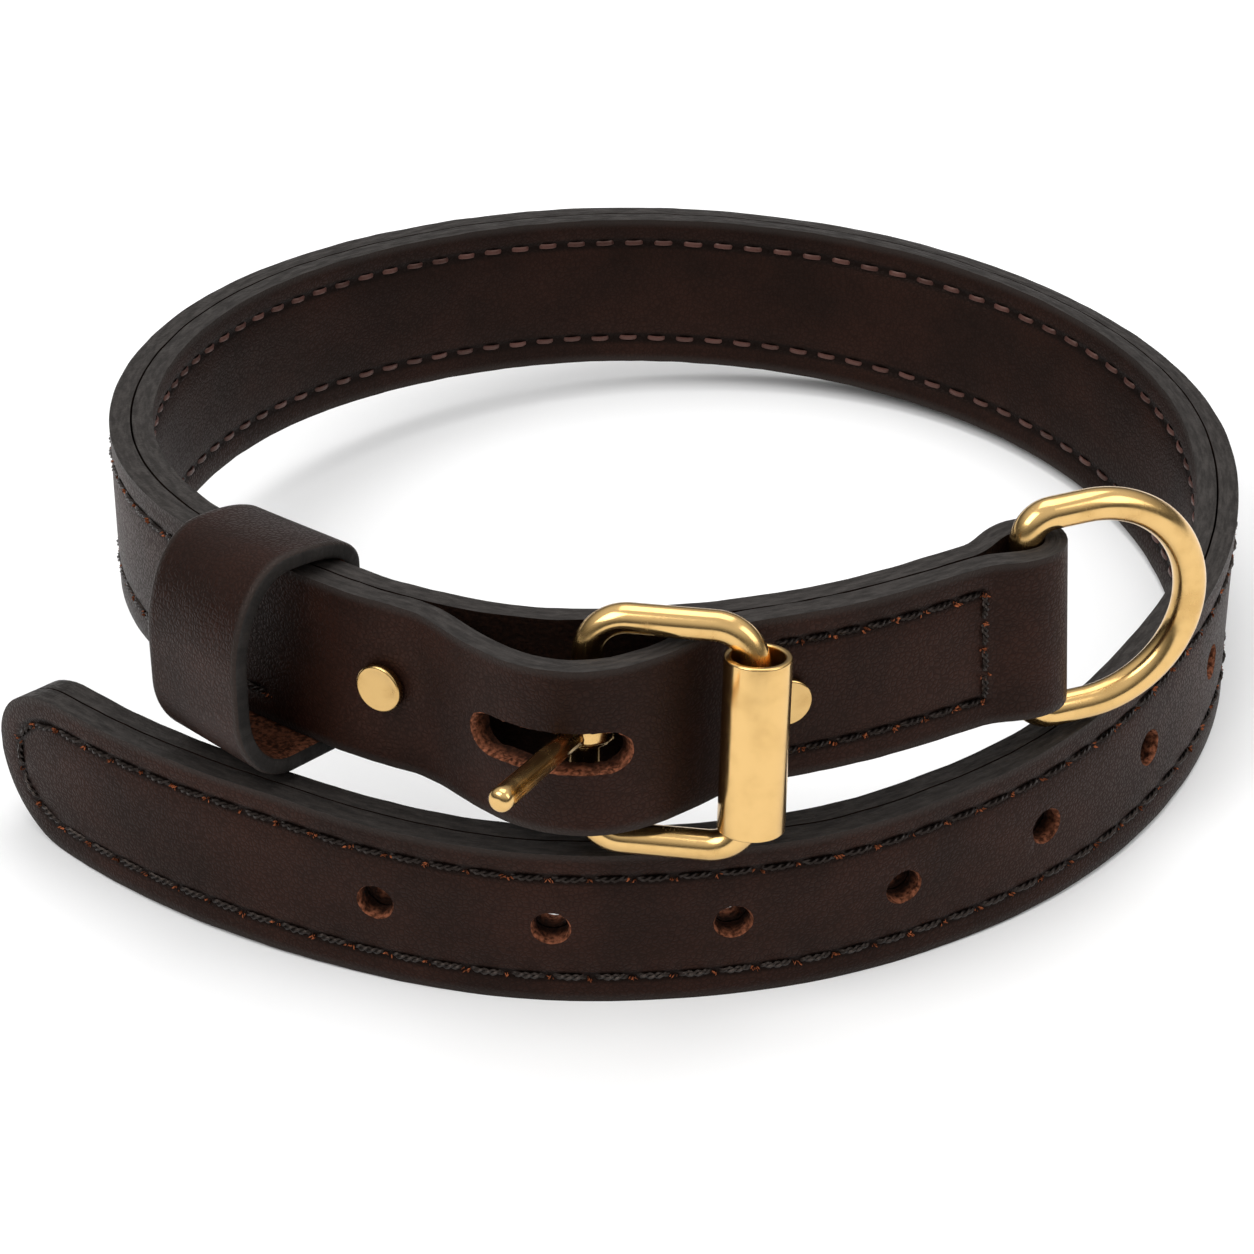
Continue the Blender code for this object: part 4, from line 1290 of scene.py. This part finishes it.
def wire(name, corners, diameter, sides, skin):
    """A closed wire through points of a plane: each corner is a centre, a radius and two angles."""
    curve = bpy.data.curves.new(name, "CURVE")
    curve.dimensions = "3D"
    curve.bevel_depth = diameter / 2
    curve.bevel_resolution = sides
    points = []
    for x, z, radius, start, end, steps in corners:
        points += [(u, 0.0, v, 1.0) for u, v in arc(x, z, radius, start, end, steps)]
    spline = curve.splines.new("POLY")
    spline.points.add(len(points) - 1)
    for point, place in zip(spline.points, points):
        point.co = place
    spline.use_cyclic_u = True
    curve.materials.append(skin)
    return bpy.data.objects.new(name, curve)


def buckle_place():
    """The middle of the heel bar, with X towards the roller and Z up the bar."""
    point, ahead, outward, up = LAYOUT.middle.at(LAYOUT.heel)
    stand_off = TONGUE_LOOP_RADIUS + LOOP_TO_BACK - PLY_GAP / 2
    heel = point + up * HALF_WIDTH + outward * stand_off
    heading = math.atan2(ahead.y, ahead.x) + math.radians(BUCKLE_OFF_STRAP)
    turn = Matrix.Rotation(heading, 4, "Z")
    tilt = Matrix.Rotation(math.radians(BUCKLE_LEAN), 4, "X")
    return Matrix.Translation(heel) @ turn @ tilt


class COLLAR_OT_buckle(bpy.types.Operator):
    """Builds the buckle's frame, roller and tongue"""

    bl_idname = "collar.buckle"
    bl_label = "Buckle"

    def execute(self, context):
        sides = context.scene.collar_brass.sides
        place = buckle_place()
        half = (BUCKLE_WINDOW_HEIGHT + BUCKLE_WIRE) / 2
        r = BUCKLE_CORNER
        corners = [
            (r, -half + r, r, 180, 270, 18),
            (BUCKLE_REACH - r, -half + r, r, 270, 360, 18),
            (BUCKLE_REACH - r, half - r, r, 0, 90, 18),
            (r, half - r, r, 90, 180, 18),
        ]
        body = wire("buckle_frame_wire", corners, BUCKLE_WIRE, sides, brass_material("frame_brass", 1.0))
        body.matrix_world = place
        link(body, "frame", "buckle_frame")

        outer = ROLLER_DIAMETER / 2
        bore = outer - ROLLER_WALL
        half = ROLLER_LENGTH / 2
        edge = ROLLER_WALL * 0.32
        profile = arc(outer - edge, half - edge, edge, 90, 0, 5)
        profile += arc(outer - edge, -half + edge, edge, 0, -90, 5)
        profile += arc(bore + edge, -half + edge, edge, -90, -180, 5)
        profile += arc(bore + edge, half - edge, edge, 180, 90, 5)
        tube = turned("buckle_roller_tube", profile, 96, True)
        tube.data.materials.append(brass_material("roller_brass", 0.6, 1.02))
        low, high = (Vector(corner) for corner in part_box("buckle_roller"))
        tube.matrix_world = Matrix.Translation((low + high) / 2) @ place.to_3x3().to_4x4()
        link(tube, "roller", "buckle_roller")

        prong = self.prong()
        prong.matrix_world = place @ Matrix.Rotation(math.radians(TONGUE_OFF_FRAME), 4, "Z")
        link(prong, "tongue", "buckle_tongue")
        return {"FINISHED"}

    def prong(self):
        """The loop round the heel bar and the rod that grows out of it, melted into one."""
        bm = bmesh.new()
        bmesh.ops.create_cone(
            bm, cap_ends=True, segments=64, radius1=TONGUE_LOOP_RADIUS,
            radius2=TONGUE_LOOP_RADIUS, depth=TONGUE_LOOP_HEIGHT,
        )
        rims = [edge for edge in bm.edges if len({round(v.co.z, 5) for v in edge.verts}) == 1]
        bmesh.ops.bevel(bm, geom=rims, offset=TONGUE_LOOP_WALL * 0.4, segments=4, affect="EDGES")
        radius = TONGUE_ROD / 2
        rings = []
        for share, width in (
            (0.11, 1.0), (0.3, 1.0), (0.6, 1.01), (0.85, 1.05), (0.92, 1.1),
            (0.955, 1.1), (0.98, 0.98), (0.992, 0.75), (1.0, 0.4),
        ):
            x = TONGUE_LENGTH * share
            ring = []
            for k in range(24):
                angle = 2 * math.pi * k / 24
                across = radius * width * math.cos(angle)
                ring.append(bm.verts.new((x, across, radius * width * math.sin(angle))))
            rings.append(ring)
        bridge(bm, rings)
        bm.faces.new(list(reversed(rings[0])))
        bm.faces.new(rings[-1])
        bmesh.ops.recalc_face_normals(bm, faces=bm.faces)
        mesh = bpy.data.meshes.new("buckle_tongue_rod")
        bm.to_mesh(mesh)
        bm.free()
        rod = bpy.data.objects.new("buckle_tongue_rod", mesh)
        melt = rod.modifiers.new("Melted together", "REMESH")
        melt.mode = "VOXEL"
        melt.voxel_size = 0.0002
        soften = rod.modifiers.new("Softened", "SMOOTH")
        soften.factor = 0.5
        soften.iterations = 5
        bm = bmesh.new()
        bore = BUCKLE_WIRE / 2 + TONGUE_FIT
        bmesh.ops.create_cone(
            bm, cap_ends=True, segments=48, radius1=bore, radius2=bore, depth=3 * TONGUE_LOOP_HEIGHT
        )
        tool_mesh = bpy.data.meshes.new("bore")
        bm.to_mesh(tool_mesh)
        bm.free()
        tool = bpy.data.objects.new("bore", tool_mesh)
        made = cut_away(rod, tool, "EXACT")
        smooth(made, 40)
        made.materials.clear()
        made.materials.append(brass_material("tongue_brass", 1.0, 0.96))
        made.name = "buckle_tongue_rod"
        return bpy.data.objects.new("buckle_tongue_rod", made)


class COLLAR_OT_d_ring(bpy.types.Operator):
    """Builds the D-ring"""

    bl_idname = "collar.d_ring"
    bl_label = "D-ring"

    def execute(self, context):
        sides = context.scene.collar_brass.sides
        point, _, _, up = LAYOUT.middle.at(LAYOUT.middle.length)
        heading = math.radians(D_HEADING)
        level = Vector((math.cos(heading), math.sin(heading), 0.0))
        ahead = (level - up * level.dot(up)).normalized()
        axes = Matrix((ahead, up.cross(ahead), up)).transposed().to_4x4()
        half = (D_WINDOW_HEIGHT + D_WIRE) / 2
        r = D_CORNER
        corners = [
            (r, -half + r, r, 180, 270, 16),
            (D_REACH - half, 0, half, 270, 450, 64),
            (r, half - r, r, 90, 180, 16),
        ]
        ring = wire("d_ring_wire", corners, D_WIRE, sides, brass_material("d_ring_metal", 1.0))
        ring.matrix_world = Matrix.Translation(point + up * HALF_WIDTH) @ axes
        link(ring, "ring", "d_ring")
        return {"FINISHED"}


class COLLAR_OT_stage(bpy.types.Operator):
    """Lays the pale floor and sets the soft lights and the camera"""

    bl_idname = "collar.stage"
    bl_label = "Floor, light and camera"

    def execute(self, context):
        stage = context.scene.collar_stage
        scene = context.scene
        start = LAYOUT.middle.place(0.0, 0.0, 0.0)
        bare = RING_RADIUS * COIL[0][1]
        turn = math.radians(COIL[0][0])
        centre = Vector((start.x - bare * math.cos(turn), start.y - bare * math.sin(turn), 0.0))
        target = centre + Vector((-0.008, 0.008, 0.0))

        angle = stage.camera_height
        reach = stage.camera_distance
        data = bpy.data.cameras.new("collar_camera")
        data.sensor_width = 36
        data.lens = stage.lens
        data.clip_start = 0.01
        camera = bpy.data.objects.new("collar_camera", data)
        scene.collection.objects.link(camera)
        camera.location = target + Vector((0, -reach * math.cos(angle), reach * math.sin(angle)))
        camera.rotation_euler = (target - camera.location).to_track_quat("-Z", "Y").to_euler()
        scene.camera = camera
        scene.view_settings.view_transform = "Standard"

        mesh = bpy.data.meshes.new("floor")
        bm = bmesh.new()
        bmesh.ops.create_grid(bm, x_segments=4, y_segments=4, size=3.0)
        bm.to_mesh(mesh)
        bm.free()
        made, _, shader = new_material("pale_floor")
        put(shader, {"Base Color": (*stage.floor_colour, 1.0), "Roughness": 0.9, "Specular IOR Level": 0.1})
        mesh.materials.append(made)
        floor = bpy.data.objects.new("floor", mesh)
        scene.collection.objects.link(floor)

        world = bpy.data.worlds.new("studio")
        scene.world = world
        world.use_nodes = True
        tree = world.node_tree
        back = tree.nodes["Background"]
        way = add(tree, "ShaderNodeTexCoord", -900, 0)
        parts = add(tree, "ShaderNodeSeparateXYZ", -700, 0)
        join(tree, way.outputs["Generated"], parts.inputs[0])
        bright = remap(tree, -450, 0, parts.outputs["Z"], 0.05, 0.75, 0.1, 1.0)
        join(tree, bright, back.inputs["Color"])
        back.inputs["Strength"].default_value = 0.88

        for name, place, size, power in (
            ("key_softbox", (-0.75, -0.55, 1.05), 0.8, 8.0),
            ("fill_softbox", (0.95, -0.35, 0.8), 0.7, 3.5),
            ("top_softbox", (0.1, 0.45, 1.3), 1.0, 7.0),
        ):
            lamp = bpy.data.lights.new(name, "AREA")
            lamp.size = size
            lamp.energy = power
            light = bpy.data.objects.new(name, lamp)
            scene.collection.objects.link(light)
            light.location = Vector(place)
            light.rotation_euler = (target - light.location).to_track_quat("-Z", "Y").to_euler()
        return {"FINISHED"}


class COLLAR_PT_panel(bpy.types.Panel):
    """Lists the collar's settings and the steps that build it"""

    bl_idname = "COLLAR_PT_panel"
    bl_label = "Dog collar"
    bl_space_type = "VIEW_3D"
    bl_region_type = "UI"
    bl_category = "Collar"

    def draw(self, context):
        layout = self.layout
        for group in ("collar_leather", "collar_stitching", "collar_brass", "collar_stage"):
            settings = getattr(context.scene, group)
            box = layout.box()
            for key in settings.bl_rna.properties.keys():
                if key not in ("rna_type", "name"):
                    box.prop(settings, key)
        for step in STEPS:
            layout.operator(step.bl_idname)


GROUPS = (
    ("collar_leather", CollarLeather),
    ("collar_stitching", CollarStitching),
    ("collar_brass", CollarBrass),
    ("collar_stage", CollarStage),
)

STEPS = (
    COLLAR_OT_stage,
    COLLAR_OT_strap,
    COLLAR_OT_keeper,
    COLLAR_OT_stitching,
    COLLAR_OT_rivets,
    COLLAR_OT_buckle,
    COLLAR_OT_d_ring,
)

CLASSES = (*STEPS, COLLAR_PT_panel)


def register():
    for key, kind in GROUPS:
        bpy.utils.register_class(kind)
        setattr(bpy.types.Scene, key, PointerProperty(type=kind))
    for kind in CLASSES:
        bpy.utils.register_class(kind)


def unregister():
    for kind in reversed(CLASSES):
        bpy.utils.unregister_class(kind)
    for key, kind in reversed(GROUPS):
        delattr(bpy.types.Scene, key)
        bpy.utils.unregister_class(kind)


def main():
    register()
    bpy.ops.collar.stage()
    bpy.ops.collar.strap()
    bpy.ops.collar.keeper()
    bpy.ops.collar.stitching()
    bpy.ops.collar.rivets()
    bpy.ops.collar.buckle()
    bpy.ops.collar.d_ring()


if __name__ == "__main__":
    main()
